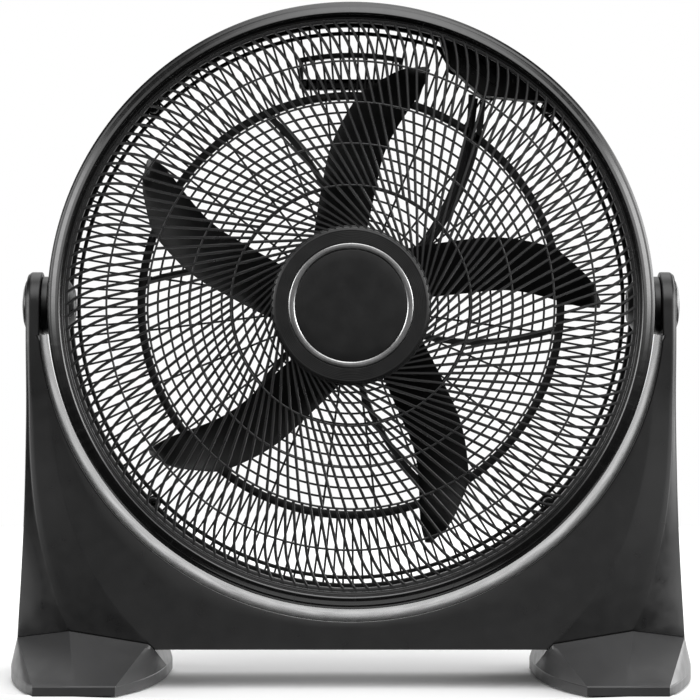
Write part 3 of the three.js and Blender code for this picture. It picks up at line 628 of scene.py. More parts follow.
def shell_section(places, depth, length, back, lip):
    """One closed section of a cradle half: (distance from the throat, distance towards its face)."""
    edge, wall, seam = CRADLE_EDGE, CRADLE_WALL, 0.35
    near, far = depth[0], depth[-1]
    start = [
        (seam, back), (0, back + seam), (0, near - 3.4), (-lip, near - 2.2 - edge), (-lip, near - edge),
        (0.3 * edge - lip, near - 0.3 * edge)]
    end = [
        (length - 0.3 * edge, far - 0.3 * edge), (length, far - edge), (length, back + seam),
        (length - seam, back)]
    inner_places = np.clip(places, wall, length - wall)[::2]
    inner = list(zip(inner_places, depth[::2] - wall))[::-1]
    inside = [(length - wall, back), *inner, (wall, back)]
    return np.array([*start, *zip(places, depth), *end, *inside])


def cradle_half(direction, split):
    """The front shell (direction -1) or the rear cover (+1), from the middle to one arm's top."""
    rows = []
    for start, end in cradle_rows():
        lip = LIP if end[1] < TRIM_TOP_Z else 0.0
        places, length = front_columns(start, end, lip)
        unit = (end - start) / length
        x, z = start[0] + unit[0] * places, start[1] + unit[1] * places
        share = np.clip((end[1] - 320.0) / (PIVOT_Z - 320.0), 0, 1)
        back = direction * split * (1 - share) + 4.4 * share
        section = shell_section(places, soft_depth(x, z), length, back, lip)
        flat = start + np.outer(section[:, 0], unit)
        rows.append(np.stack([flat[:, 0], direction * section[:, 1], flat[:, 1]], 1))
    radius = section[:, 1]
    last = math.acos(direction * split / ARM_TOP_RADIUS)
    for turn in np.linspace(0, last, 16)[1:]:
        y, z = direction * radius * math.cos(turn), PIVOT_Z + radius * math.sin(turn)
        rows.append(np.stack([flat[:, 0], y, z], 1))
    left = [row * [-1, 1, 1] for row in rows[:0:-1]]
    return skinned([*left, *rows])


def screw_well(node, surface):
    """The lined hole in the rear cover that leads in to one of its screws."""
    low, high = span(node)
    centre = (low + high) / 2
    seat = high[1] - 2.9
    profile = [
        (2.2, seat - 3), (6.2, seat - 3), (6.2, surface, 0.4), (4.4, surface, 0.5), (4.4, seat),
        (2.2, seat)]
    return turned(rounded(profile), 48, centre=centre)


def bored(piece, centre, radius, low, high):
    """Cuts a round hole along Y through a finished piece."""
    profile = [(0, low), (radius, low), (radius, high), (0, high)]
    hole = made_mesh("hole", turned(profile, 48, centre=centre))
    cutter = bpy.data.objects.new("hole", hole)
    bpy.context.scene.collection.objects.link(cutter)
    cut = piece.modifiers.new("cut", "BOOLEAN")
    cut.operation = "DIFFERENCE"
    cut.object = cutter
    bpy.context.view_layer.update()
    evaluated = piece.evaluated_get(bpy.context.evaluated_depsgraph_get())
    uncut = piece.data
    piece.data = bpy.data.meshes.new_from_object(evaluated)
    piece.modifiers.clear()
    bpy.data.objects.remove(cutter)
    bpy.data.meshes.remove(hole)
    bpy.data.meshes.remove(uncut)


def saddle_trim():
    """The silver band in the throat, which follows the depth of the cradle."""
    limit = math.acos((PIVOT_Z - TRIM_TOP_Z + GAP) / TRIM_OUTER)
    rows = []
    for angle in np.linspace(-limit, limit, 181):
        x, z = TRIM_OUTER * math.sin(abs(angle)), PIVOT_Z - TRIM_OUTER * math.cos(angle)
        depth = float(soft_depth(np.array([x]), np.array([z]))[0]) - TRIM_RECESS
        outline = rounded([
            (TRIM_INNER, -depth, 0.7), (TRIM_OUTER, -depth, 0.5), (TRIM_OUTER, depth, 0.5),
            (TRIM_INNER, depth, 0.7)])
        radius, y = outline.T
        rows.append(np.stack([radius * math.sin(angle), y, PIVOT_Z - radius * math.cos(angle)], 1))
    return skinned(rows)


# ---- Feet ----


def curve_through(points, count):
    """Points of a smooth curve through the given ones, in equal steps."""
    points = np.array(points, float)
    lengths = np.concatenate([[0], np.cumsum(np.linalg.norm(np.diff(points, axis=0), axis=1))])
    at = np.linspace(0, lengths[-1], count)
    return np.stack([smooth(np.stack([lengths, column], 1), at) for column in points.T], 1)


def foot_edges():
    """Matching points round the right foot: on its rim in plan, and on its seam with the leg."""
    low, inner, crest, outer = [np.array([x, -y, z]) for (x, z), y in zip(SEAM, SEAM_DEPTH)]
    flip = np.array([1, -1, 1])
    stretches = [
        ([(203, -FOOT_END_Y), (274, -FOOT_END_Y)], 24, [inner, crest, outer]),
        ([(274, -FOOT_END_Y), (283, -90), (292.6, -60), (302.7, -18), (307, 10)], 24, [outer, outer]),
        ([(307, 10), (307, 60)], 10, [outer, outer * flip]),
        ([(307, 60), (304, 84), (294, 103), (278, FOOT_END_Y)], 14, [outer * flip, outer * flip]),
        ([(278, FOOT_END_Y), (200, FOOT_END_Y)], 24, [outer * flip, crest * flip, inner * flip]),
        ([(200, FOOT_END_Y), (182, 103), (170, 87), (165, 70)], 14, [inner * flip, low * flip]),
        ([(165, 70), (166.5, 10)], 12, [low * flip, low]),
        ([(166.5, 10), (171.6, -27), (184, -72), (203, -FOOT_END_Y)], 24, [low, inner]),
    ]
    rim, seam = [], []
    for points, count, corners in stretches:
        rim.append(curve_through(points, count + 1)[:-1])
        legs = [count // 2] * 2 if len(corners) == 3 else [count]
        seam.append(along_polyline(corners, legs)[:-1])
    return np.concatenate(rim), np.concatenate(seam)


def foot():
    """The right foot: facets from the seam down to the rim, and a pocket in the sole."""
    rim, seam = foot_edges()
    front, widest = -FOOT_END_Y, 10.0
    share = np.clip((rim[:, 1] - front) / (widest - front), 0, 1)
    rim_z = FOOT_RIM_Z + FOOT_RIM_RISE * share
    top = np.column_stack([rim, rim_z])
    seam = seam - [0, 0, GAP]
    centre = np.array([FOOT_MIDDLE_X, 0.0])
    inwards = centre - rim
    inwards /= np.linalg.norm(inwards, axis=1, keepdims=True)

    def level(inset, z):
        return np.column_stack([rim + inwards * inset, z + 0 * rim_z])

    rows = [seam * [1, 0.2, 1]]
    for share in np.linspace(0, 1, 13)[:-1]:
        rows.append(seam + (top - seam) * share)
    rows.append(seam + (top - seam) * 0.985)
    rows += [level(0.25, rim_z - 0.15), level(0.0, rim_z - 0.8), level(0.0, FOOT_SOLE_Z + 0.8)]
    rows.append(level(0.8, FOOT_SOLE_Z))
    pocket = np.clip(rim, POCKET_LOW, POCKET_HIGH)
    rows.append(np.column_stack([pocket, np.full(len(pocket), FOOT_SOLE_Z)]))
    ceiling = centre + (pocket - centre) * [0.8, 0.5]
    rows.append(np.column_stack([ceiling, np.full(len(pocket), POCKET_TOP_Z)]))
    return skinned(rows)


def pad(x, y, top):
    """A rubber pad with round ends."""
    end, radius = 17.0, 8.0
    right = polar(radius, np.linspace(-90, 90, 17)) + [end, 0]
    left = polar(radius, np.linspace(90, 270, 17)) - [end, 0]
    outline = np.concatenate([right, left]) + [x, y]
    return slab(outline, 0.0, top, 0.7, axis="z")


# ---- Drum and front ----


def bezel_ring():
    """The gloss ring round the front: a sloped main face with a lip inside it."""
    back = DRUM_FRONT_Y - GAP
    return turned(rounded([
        (BEZEL_RADIUS, back), (BEZEL_RADIUS, -74.2, 0.8), (263.3, -76.4, 0.8), (261.5, -76.9, 0.3),
        (260.6, -77.6, 0.3), (258.0, -79.2, 2.0), (255.2, -80.2, 0.9), (253.9, -79.3, 0.6),
        (253.2, -74.5, 0.5), (252.2, -71.8, 0.4), (250.7, -71.8, 0.3), (250.7, -66), (259, -64),
        (259, back),
    ]), 256)


def drum_shell():
    """The drum: its barrel with a groove, two pivot bosses, and posts for the rear guard's screws."""
    barrel = turned(rounded([
        (DRUM_BORE, DRUM_FRONT_Y, 0.4), (DRUM_RADIUS, DRUM_FRONT_Y, 0.6), (DRUM_RADIUS, -52),
        (263.4, -51.4, 0.3), (263.4, -50, 0.3), (DRUM_RADIUS, -49.4), (DRUM_RADIUS, 20, 6), (263, 58, 3),
        (261.6, 65.2, 1.2), (DRUM_BORE, DRUM_REAR_Y, 0.3),
    ]), 256)
    shapes = [barrel]
    for side in (-1, 1):
        boss = rounded([
            (8.9, 254.9), (8.9, 248, 0.4), (14, 248, 1.2), (33, 260.5, 1.0), (24, 262, 0.5), (24, 265, 0.8),
            (PIVOT_BORE, 265, 0.3), (PIVOT_BORE, 254.9, 0.2)])
        shapes.append(turned(boss * [1, side], 64, axis="x"))
    post = rounded([(2.1, 44, 0.2), (5, 44, 0.6), (5, 61.7, 0.3), (2.1, 61.7, 0.2)])
    return joined(*shapes, *pins(post, 24, SCREW_CIRCLE, SCREW_ANGLES))


def dome_front(radius):
    """The front grille's front face: its Y at a distance from the fan's axis."""
    rim, rise = 250.4, 20.0
    return -71.5 - rise * (1 - np.minimum(radius / rim, 1) ** 2)


def swirl(radius):
    """Turn in degrees of a front spoke at a distance from the axis."""
    bend = 1.36 * np.maximum(0, (radius - 215) / 28) ** 2
    return np.degrees(np.arccos(SWIRL_RADIUS / radius)) + bend


def front_grille():
    """Swirling spokes in three zones, rings, a rim, and the plate that carries the hub cover."""
    spoke = [(-0.5, 0), (0.5, 0), (1.3, 1.7), (1.1, 4.6), (-1.1, 4.6), (-1.3, 1.7)]
    shapes = []
    for inner, outer, count, phase, stations in FRONT_ZONES:
        radius = np.linspace(inner, outer, stations)
        turn = swirl(radius)[None, :] + phase + spread(count)[:, None]
        shapes.append(bars(fanned(radius, turn, dome_front(radius)[None, :]), spoke))
    for ring in FRONT_RINGS:
        front = dome_front(ring) + 0.7
        half = 0.85
        shapes.append(turned(rounded([
            (ring - half, front + 3.4, 0.2), (ring + half, front + 3.4, 0.2),
            (ring + half, front, 0.5), (ring - half, front, 0.5)], 2), 192))
    shapes.append(turned(rounded([
        (247.4, -68.2, 0.3), (250.4, -68.2, 0.3), (250.4, -71.6, 0.5), (247.4, -71.4, 0.6)], 3), 256))
    plate_front = dome_front(60.0)
    shapes.append(turned(rounded([
        (0, plate_front), (66, plate_front, 0.4), (69.6, plate_front + 1.6, 0.8),
        (69.6, plate_front + 4.8, 0.4), (64, plate_front + 4.8, 0.4), (64, plate_front + 2.6),
        (0, plate_front + 2.6)]), 192))
    return joined(*shapes)


def hub_cover():
    """The hub's cover, with fine turned rings round a groove for the badge ring."""
    face, back = depth_span("hub_cover")
    rings = []
    for radius in np.arange(64.8, 56.2, -1.4):
        rings += [(radius, face), (radius - 0.5, face + 0.12), (radius - 0.9, face)]
    profile = [
        (0, back), (62.4, back, 0.5), (68.2, face + 2.2, 1.0), (67.2, face + 0.5, 0.8), (65.6, face, 0.5),
        *rings, (54.9, face, 0.25), (54.9, face + 1.6), (48.3, face + 1.6), (48.3, face + 0.3, 0.25),
        (40, face + 0.12), (20, face + 0.03), (0, face),
    ]
    return turned(rounded(profile), 192)


def badge_ring():
    front, back = depth_span("badge_ring")
    return turned(rounded([
        (48.8, back), (54.3, back), (54.3, front + 0.75, 0.3), (53.4, front + 0.1, 0.8), (51.5, front, 3.0),
        (49.7, front + 0.15, 0.8), (48.8, front + 0.8, 0.3)]), 192)


# ---- Back ----


def ring_bar(inner, outer, front, back, edge=0.4, segments=192):
    """A whole ring with a rectangular section."""
    return turned(rounded([
        (inner, back, edge), (outer, back, edge), (outer, front, edge), (inner, front, edge)], 2), segments)


def switch_outline(reach):
    """Front view of the switch's corner of the drum: an arc outside and three straight walls inside."""
    arc = polar(reach, np.linspace(46, 72, 24))
    inner = rounded([tuple(arc[-1]), (90, 219, 3), (119, 192, 4), (166, 187, 4), tuple(arc[0])])[1:-1]
    return np.concatenate([arc, inner]) + [HUB[0], HUB[2]]


def leaning(angles, radius):
    """Turn of a thick bar that starts from each angle and leans over as it runs outwards."""
    return angles[:, None] + LEAN_PER_MM * (radius[None, :] - LEAN_FROM)


def rear_grille():
    """The rear guard: rings, thin and thick ribs, and the channel that the motor's lead runs in."""
    front, back = REAR_FRONT_Y, REAR_BACK_Y
    shapes = [
        ring_bar(249.2, 252.6, front, back),
        ring_bar(256.4, 260.1, front - 1.5, back, segments=256),
        ring_bar(189.6, 197.0, front - 0.6, back + 0.4, 0.8),
    ]
    for k in range(12):
        ring = 178.2 - REAR_RING_STEP * k
        shapes.append(ring_bar(ring - 0.95, ring + 0.95, front + 0.6, back - 0.4))
    thin = [(-0.8, 0.3), (0.8, 0.3), (1.0, 1.0), (0.9, 3.6), (-0.9, 3.6), (-1.0, 1.0)]
    outer_radius = np.array([196.0, 215.0, 238.0, 257.5])
    inner_radius = np.linspace(60, 190.5, 4)
    for count, start, radius in ((176, 0.4, outer_radius), (24, 7.0, inner_radius)):
        turn = spread(count, start)[:, None] + 0 * radius[None, :]
        shapes.append(bars(fanned(radius, turn, front), thin))
    thick = [
        (-2.2, -0.4), (2.2, -0.4), (3.0, 0.8), (3.0, 3.8), (2.4, 4.6), (-2.4, 4.6), (-3.0, 3.8),
        (-3.0, 0.8)]
    radius = np.linspace(58, 191, 10)
    shapes.append(bars(fanned(radius, leaning(spread(6, -7.0), radius), front), thick))
    channel = [(-2.2, -0.6), (2.2, -0.6), (2.6, 0), (2.6, 3.8), (-2.6, 3.8), (-2.6, 0)]
    radius = np.linspace(58, 224, 12)
    turn = leaning(np.array([CHANNEL_ANGLE - 1.6, CHANNEL_ANGLE + 1.6]), radius)
    shapes.append(bars(fanned(radius, turn, front), channel))
    shapes.append(turned(rounded([
        (0, front), (60, front, 0.5), (62, front + 1, 0.5), (62, back, 0.5), (0, back)]), 128))
    shapes.append(slab(switch_outline(252.0), front, back - 0.4, 0.5))
    hood = np.concatenate([polar(233.2, np.linspace(78, 102, 24)), polar(228.8, np.linspace(102, 78, 24))])
    shapes.append(slab(hood + [HUB[0], HUB[2]], front, back + 6, 0.8))
    ear = rounded([(2.3, front, 0.2), (6.4, front, 0.5), (6.4, back, 0.6), (2.3, back, 0.2)])
    return joined(*shapes, *pins(ear, 32, SCREW_CIRCLE, SCREW_ANGLES))


def motor_cover():
    """The domed cover over the back of the motor, with ribs round its side."""
    front, back = depth_span("motor_cover")
    shell = rounded([
        (60, front, 0.5), (60, front + 9, 6), (53, front + 21, 7), (40, back - 1.2, 10), (0, back),
        (0, back - 2.5), (39, back - 3.7, 8), (51, front + 19, 6), (57.5, front + 9, 5), (57.5, front, 0.3),
    ], 6)
    shapes = [turned(shell, 128)]
    outline = [(-1.0, front + 4), (1.0, front + 4), (1.0, front + 15.5), (-1.0, front + 15.5)]
    points, faces = slab(outline, 0, 1, 0.2, axis="z")
    across, y, height = points.T
    lift = 57.4 + height * 3.6 - np.clip(y - front - 8, 0, 9) * 0.45
    rib = np.stack([lift, y, across], 1), faces
    for angle in spread(24, 7.5):
        shapes.append(moved(rotated_y(rib, angle), (0, 0, PIVOT_Z)))
    return joined(*shapes)


def carry_handle():
    """The handle: a bar that stands off the rear guard on two side plates."""
    low, high = span("carry_handle")
    half, bottom, top = high[0], low[2], high[2]
    front, back = low[1], high[1]
    grip, wall, bar_top = 14.0, 7.0, bottom + 8.0
    plan = rounded([
        (-half, front, 0.5), (wall - half, front, 0.5), (wall - half, back - grip, 5),
        (half - wall, back - grip, 5), (half - wall, front, 0.5), (half, front, 0.5), (half, back, 11),
        (-half, back, 11)], 6)
    shapes = [slab(plan, bottom, bar_top, 1.6, axis="z")]
    for side in (-1, 1):
        x = side * (half - 2)
        outline = rounded([
            (front, bottom + 4, 0.5), (front + 14, bottom + 4, 4), (front + 16, top - 18, 6),
            (front + 3, top, 2), (front, top, 0.5)])
        points, faces = slab(outline, x - 2, x + 2, 0.6)
        shapes.append((points[:, [1, 0, 2]], faces))
    return joined(*shapes)


def switch_box():
    """The switch's housing, with the bosses and the ridge that show on its front wall."""
    front, back = depth_span("switch_box")
    shapes = [slab(switch_outline(259.0), front, back, 1.2)]
    for x, z, radius in ((104, 226, 3.2), (150, 204, 3.2), (128, 214, 4.4)):
        boss = rounded([
            (0, front - 1.6), (radius - 1.2, front - 1.6, 0.4), (radius, front - 0.4, 0.4),
            (radius, front + 1), (0, front + 1)])
        shapes.append(turned(boss, 32, centre=HUB + [x, 0, z]))
    ridge = rounded([(100, 240, 2), (96, 232, 2), (130, 200, 2), (136, 206, 2)]) + [HUB[0], HUB[2]]
    shapes.append(slab(ridge, front - 3.5, front + 1, 0.8))
    return joined(*shapes)


def speed_knob():
    """The speed knob: a fluted skirt on its spindle, with a pointer across its face."""
    front, tip = REAR_BACK_Y + GAP, depth_span("speed_knob")[1]
    skirt = rounded([
        (0, 50), (3, 50), (3, front), (15.4, front, 0.5), (16, front + 3.6, 1.0),
        (14.6, front + 11.4, 1.6), (0, front + 12)])
    shapes = [turned(skirt, 96, centre=KNOB)]
    outline = rounded([(-2.6, -13, 1.6), (2.6, -13, 1.6), (1.9, 13.2, 1.4), (-1.9, 13.2, 1.4)])
    shapes.append(slab(outline + [KNOB[0], KNOB[2]], front + 8, tip, 0.9))
    flute = rounded([(0, front + 3.2), (0.9, front + 3.2, 0.2), (0.7, front + 10, 0.3), (0, front + 10)])
    return joined(*shapes, *pins(flute, 10, 15.1, spread(24), KNOB))


def cord_gland():
    """The cord's gland, with five ribs that get smaller towards its end."""
    low, high = span("cord_gland")
    front, back = low[1], high[1]
    centre = (low + high) / 2
    profile = [(3.6, front), (8, front, 0.4), (8, front + 2.4, 0.5), (7.0, front + 2.8, 0.2)]
    for k in range(5):
        y = front + 3.6 + k * 3.0
        radius = 6.9 - k * 0.28
        profile += [(radius, y, 0.3), (radius, y + 1.8, 0.3)]
        profile += [(radius - 1.0, y + 2.1, 0.2), (radius - 1.0, y + 2.8, 0.2)]
    profile += [(5.4, back, 0.5), (3.6, back, 0.3)]
    return turned(rounded(profile, 2), 40, centre=centre)


# ---- Fan and motor ----


def blade():
    """One blade as a closed skin: twisted, cambered, with a rounded tip."""
    radial, chord = 28, 14
    rows = []
    for i in range(radial + 1):
        share = i / radial
        radius = BLADE_ROOT + (BLADE_TIP - BLADE_ROOT) * share
        swept_share = (radius - BLADE_SWEEP_START) / (BLADE_SWEEP_END - BLADE_SWEEP_START)
        swept_share = np.clip(swept_share, 0, 1)
        swept = -BLADE_SWEEP * swept_share**2 * (3 - 2 * swept_share)
        beyond = max(0.0, radius - BLADE_FULL_RADIUS) / (BLADE_TIP - BLADE_FULL_RADIUS)
        narrowed = max(0.1, 1 - 0.6 * beyond - 0.35 * beyond**8)
        across = math.degrees(BLADE_WIDTH / radius) * narrowed
        pitch = BLADE_PITCH - 16 * share
        row = []
        for side in (-1, 1):
            steps = range(chord + 1) if side < 0 else range(chord, -1, -1)
            for j in steps:
                t = j / chord
                thick = 2.9 * math.sqrt(max(0.0, 1 - (2 * t - 1) ** 4)) * (1 - 0.3 * share) + 0.5
                camber = 2.4 * math.sin(math.pi * t)
                x, z = polar(radius, FIRST_BLADE + swept + across * t)
                y = BLADE_MIDDLE_Y + pitch * (0.5 - t) - camber * 0.6 + side * thick / 2
                row.append((x, y, z))
        rows.append(row)
    return skinned(rows)


def fan_blade():
    """The whole rotor: its blades on a cup-shaped hub."""
    one = blade()
    shapes = [moved(rotated_y(one, angle), (HUB[0], 0, HUB[2])) for angle in spread(BLADE_COUNT)]
    shapes.append(turned(rounded([
        (5, -46, 0.5), (49, -44, 4), (56, -38, 3), (56, -8, 0.6), (53, -8, 0.4), (53, -37, 2), (48, -41, 2),
        (12, -42), (12, -20, 0.5), (5, -20, 0.5)]), 128))
    return joined(*shapes)


def blade_nut():
    """The nut that holds the rotor on its shaft, with a ribbed grip."""
    profile = rounded([
        (5, -46.3, 0.3), (12, -46.3, 0.4), (12, -57, 2), (8, -62, 2), (0, -62), (0, -57), (5, -57)])
    rib = rounded([(0, -47), (1.3, -47, 0.3), (1.1, -57, 0.5), (0, -57)])
    return joined(turned(profile, 48), *pins(rib, 12, 11.6, spread(12)))


def tube(points, radius, sides=20, steps=48):
    """A round tube along a smooth curve through the points."""
    centre = curve_through(points, steps)
    ahead = np.gradient(centre, axis=0)
    ahead /= np.linalg.norm(ahead, axis=1, keepdims=True)
    side = np.cross(ahead, [0, 1, 0])
    side /= np.linalg.norm(side, axis=1, keepdims=True)
    up = np.cross(side, ahead)
    circle = polar(radius, spread(sides))
    offset = side[:, None] * circle[:, :1] + up[:, None] * circle[:, 1:]
    return skinned(centre[:, None] + offset)


def motor_lead():
    """The lead from the switch to the motor. Its places are (radius, angle, y)."""
    places = [(222, 59, 50), (167, 51, 57), (117, 44, 57), (49, 35, 48)]
    points = [at_hub(polar(distance, angle), y) for distance, angle, y in places]
    return tube(points, 2.5)


def motor_bracket(end, mouth):
    """A cup-shaped end of the motor, from its closed end to its mouth, with cooling fins."""
    inwards = math.copysign(1.0, mouth - end)
    low = end + inwards * 2.5
    pocket = end + inwards * 13
    profile = [
        (5, end, 0.3), (40, end, 2), (47, end + inwards * 5, 3), (47, mouth, 0.3), (44.5, mouth, 0.3),
        (44.5, end + inwards * 6, 2), (39, low, 2), (11.5, low), (11.5, pocket, 0.4),
        (8.3, pocket, 0.4), (8.3, low), (5, low),
    ]
    first, last = end + inwards * 8, mouth - inwards * 2
    fin = rounded([(0, first), (1.4, first, 0.4), (1.4, last, 0.4), (0, last)])
    return joined(turned(rounded(profile), 96), *pins(fin, 10, 46.4, spread(18)))


# ---- Fasteners and pivots ----


def cross_loop(arm, width, count):
    """Points round a plus sign, at equal turns from its centre."""
    turn = np.arange(count) * 2 * math.pi / count + 0.01
    cos, sin = np.maximum(np.abs(np.cos(turn)), 1e-6), np.maximum(np.abs(np.sin(turn)), 1e-6)
    reach = np.maximum(np.minimum(arm / cos, width / sin), np.minimum(arm / sin, width / cos))
    return np.stack([reach * np.cos(turn), reach * np.sin(turn)], 1)


def screw_y(node):
    """A pan-head screw along Y with a cross recess, sized from its CAD node. Its head faces +Y."""
    low, high = span(node)
    centre = (low + high) / 2
    head, back, count = (high[0] - low[0]) / 2, high[1], 48
    seat = back - 2.6
    circle = polar(1.0, spread(count))
    levels = [
        (0.4, low[1]), (1.5, low[1] + 1.5), (1.9, low[1] + 4), (1.9, seat), (head - 0.1, seat),
        (head, seat + 0.3), (head, seat + 1.1), (head * 0.92, seat + 1.8), (head * 0.75, seat + 2.3),
        (head * 0.62, back)]
    rows = [np.insert(circle * radius, 1, y, axis=1) for radius, y in levels]
    for arm, width, y in ((0.52, 0.16, back), (0.50, 0.14, back - 0.1), (0.40, 0.10, back - 1.2)):
        rows.append(np.insert(cross_loop(head * arm, head * width, count), 1, y, axis=1))
    return moved(skinned(rows), [centre[0], 0, centre[2]])


def pivot_cap():
    """The low dome over the right arm's pivot bolt."""
    face = span("right_pivot_cap")[1][0]
    seat = ARM_OUTER_X + GAP
    profile = [
        (0, face), (8, face - 0.35, 4), (17, face - 1.7, 5), (22.4, seat + 1.2, 1.2), (22.9, seat, 0.2),
        (10.2, seat, 0.3), (10.2, seat - 3.6, 0.3), (0, seat - 3.6)]
    return turned(rounded(profile, 5), 96, axis="x")


def friction_disc():
    """The grooved disc between the drum and the right arm."""
    near, far, groove = DRUM_SIDE_X, ARM_INNER_X - GAP, DISC_RADIUS - 0.8
    profile = [
        (PIVOT_BORE, near, 0.3), (DISC_RADIUS, near, 0.8), (DISC_RADIUS, 269.6, 0.3), (groove, 270, 0.2),
        (groove, 270.8, 0.2), (DISC_RADIUS, 271.2, 0.3), (DISC_RADIUS, far, 0.8), (PIVOT_BORE, far, 0.3)]
    return turned(rounded(profile), 96, axis="x")


# ---- Assembly ----

front_half = cradle_half(-1, CRADLE_SPLIT_Y)
rear_half = cradle_half(1, CRADLE_SPLIT_Y + GAP)
add_piece("cradle_front", front_half, "cradle_plastic", "stand", ["cradle_front_shell"], 24)
rear_cover = add_piece("cradle_back", rear_half, "cradle_plastic", "stand", ["cradle_rear_cover"], 24)
for i in range(1, 5):
    low, high = span(f"cover_screw_{i}")
    centre = (low + high) / 2
    surface = float(soft_depth(np.array([abs(centre[0])]), np.array([centre[2]]))[0])
    bored(rear_cover, centre, WELL_RADIUS, surface - 12, surface + 12)
    add_piece(f"cradle_well_{i}", screw_well(f"cover_screw_{i}", surface - 0.6), "cradle_plastic", "stand")
add_piece("silver_band", saddle_trim(), "silver_trim", "stand", ["saddle_trim"])

# Each side's pieces: name, shape on the right, look, CAD node, and the sharp edges' angle
SIDE_PIECES = [
    ("foot_shell", foot(), "foot_plastic", "foot", 14),
    ("pad_front", pad(FOOT_MIDDLE_X, -PAD_Y, PAD_TOP), "rubber", "foot_pad_front", 32),
    ("pad_rear", pad(FOOT_MIDDLE_X, PAD_Y, PAD_TOP), "rubber", "foot_pad_rear", 32),
    ("cap", pivot_cap(), "gloss_bezel", "pivot_cap", 32),
    ("washer", friction_disc(), "cradle_plastic", "friction_disc", 32),
]
for side in ("right", "left"):
    for name, shape, look, node, angle in SIDE_PIECES:
        placed = shape if side == "right" else mirrored_x(shape)
        add_piece(f"{side}_{name}", placed, look, "stand", [f"{side}_{node}"], angle)

# The moving bodies' pieces: name, shape, look, CAD node, and the sharp edges' angle
MOVING_PIECES = {
    "head": [
        ("drum", drum_shell(), "grille_plastic", "drum_shell", 32),
        ("bezel", bezel_ring(), "gloss_bezel", "bezel_ring", 32),
        ("front_guard", front_grille(), "grille_plastic", "front_grille", 25),
        ("hub_cap", hub_cover(), "hub_plastic", "hub_cover", 32),
        ("hub_ring", badge_ring(), "badge_silver", "badge_ring", 32),
        ("rear_guard", rear_grille(), "grille_plastic", "rear_grille", 25),
        ("motor_housing", motor_cover(), "grille_plastic", "motor_cover", 32),
        ("handle", carry_handle(), "grille_plastic", "carry_handle", 32),
        ("switch_housing", switch_box(), "grille_plastic", "switch_box", 32),
        ("gland", cord_gland(), "rubber", "cord_gland", 32),
        ("lead_to_motor", motor_lead(), "rubber", "motor_lead", 32),
        ("motor_front_half", motor_bracket(6.0, 33.7), "motor_steel", "motor_front_bracket", 32),
        ("motor_rear_half", motor_bracket(61.7, 34.0), "motor_steel", "motor_rear_bracket", 32),
    ],
    "knob": [("dial", speed_knob(), "gloss_bezel", "speed_knob", 32)],
    "rotor": [
        ("blades", fan_blade(), "blade_plastic", "fan_blade", 35),
        ("spinner_nut", blade_nut(), "gloss_bezel", "blade_nut", 32),
    ],
}
for body, pieces in MOVING_PIECES.items():
    for name, shape, look, node, angle in pieces:
        add_piece(name, shape, look, body, [node], angle)
for i in range(1, 5):
    add_piece(f"guard_screw_{i}", screw_y(f"grille_screw_{i}"), "steel", "head", [f"grille_screw_{i}"])
    add_piece(f"back_screw_{i}", screw_y(f"cover_screw_{i}"), "steel", "stand", [f"cover_screw_{i}"])

CAD_LOOKS = {
    "steel": ["foot_screw", "motor_screw", "pivot_bolt", "pivot_nut", "bearing", "motor_shaft"],
    "motor_steel": ["stator_core", "rotor_core"],
    "copper": ["winding"],
    "electrical_plastic": ["rotary_switch", "capacitor"],
}
for name, node in frame["nodes"].items():
    for look, words in CAD_LOOKS.items():
        if not node.hide_render and any(word in name for word in words):
            node.data.materials.clear()
            node.data.materials.append(MATERIALS[look])

# ---- Stage, light and camera ----

scene = bpy.context.scene
scene.view_settings.view_transform = "Standard"


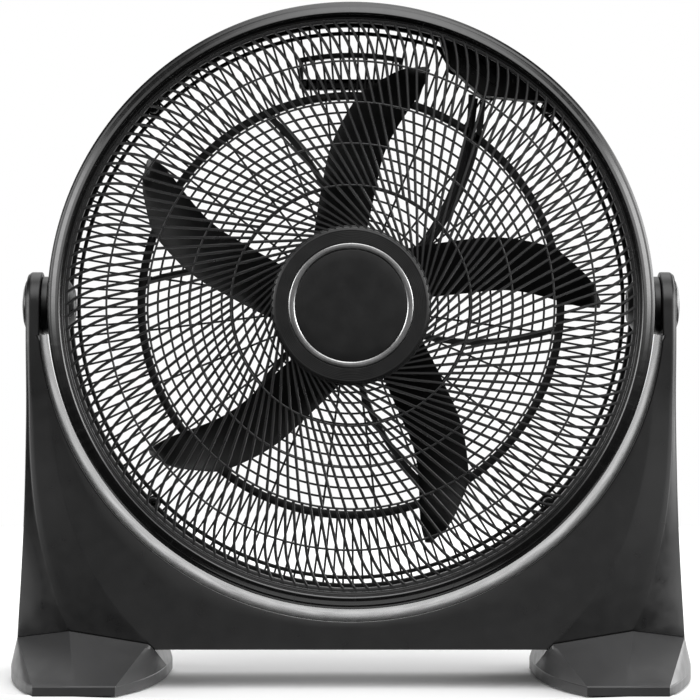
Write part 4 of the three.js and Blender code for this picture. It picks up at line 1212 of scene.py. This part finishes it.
def add_floor():
    """A round white floor, which lies mostly under and behind the fan."""
    count = 128
    flat = polar(FLOOR_RADIUS, spread(count)) + [0, FLOOR_MIDDLE_Y]
    mesh = bpy.data.meshes.new("floor")
    mesh.from_pydata((np.column_stack([flat, np.zeros(count)]) * MM).tolist(), [], [tuple(range(count))])
    floor = bpy.data.objects.new("floor", mesh)
    scene.collection.objects.link(floor)
    material, tree, shader, place = new_material("floor_white")
    pale = mottled(tree, noise_node(tree, place, 400.0), (0.80, 0.80, 0.80), (0.84, 0.84, 0.84))
    tree.links.new(pale, shader.inputs["Base Color"])
    shader.inputs["Roughness"].default_value = 0.9
    mesh.materials.append(material)
    floor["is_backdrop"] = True


def softbox(tree, place, direction, strength, edge, middle):
    """Glow round one direction of the sky: none at the cosine `edge`, full at the cosine `middle`."""
    facing = tree.nodes.new("ShaderNodeVectorMath")
    facing.operation = "DOT_PRODUCT"
    facing.inputs[1].default_value = Vector(direction).normalized()
    tree.links.new(place, facing.inputs[0])
    return remapped(tree, facing.outputs["Value"], 0.0, strength, edge, middle)


def add_world():
    """White surroundings for the camera. For the light, soft boxes in a dim room, dark below."""
    world = bpy.data.worlds.new("studio")
    scene.world = world
    world.use_nodes = True
    tree = world.node_tree
    background = tree.nodes["Background"]
    background.inputs["Color"].default_value = (1, 1, 1, 1)
    place = tree.nodes.new("ShaderNodeTexCoord").outputs["Generated"]
    parts = tree.nodes.new("ShaderNodeSeparateXYZ")
    tree.links.new(place, parts.inputs["Vector"])
    glow = remapped(tree, parts.outputs["Z"], 0.0, ROOM_GLOW, -0.12, 0.05)
    for box in SOFTBOXES:
        glow = math_node(tree, "ADD", glow, softbox(tree, place, *box))
    lit = math_node(tree, "MULTIPLY", glow, remapped(tree, parts.outputs["Z"], 0.0, 1.0, -0.12, 0.05))
    seen = tree.nodes.new("ShaderNodeLightPath").outputs["Is Camera Ray"]
    tree.links.new(math_node(tree, "MAXIMUM", lit, seen), background.inputs["Strength"])


def add_camera():
    camera_data = bpy.data.cameras.new("camera")
    camera_data.lens = CAMERA_LENS
    camera_data.sensor_width = CAMERA_SENSOR
    camera_data.shift_y = CAMERA_SHIFT
    camera = bpy.data.objects.new("camera", camera_data)
    scene.collection.objects.link(camera)
    camera.location = CAMERA_PLACE
    camera.rotation_euler = (math.radians(CAMERA_TILT), 0, 0)
    bpy.context.scene.camera = camera


add_floor()
add_world()
add_camera()

low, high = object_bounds()
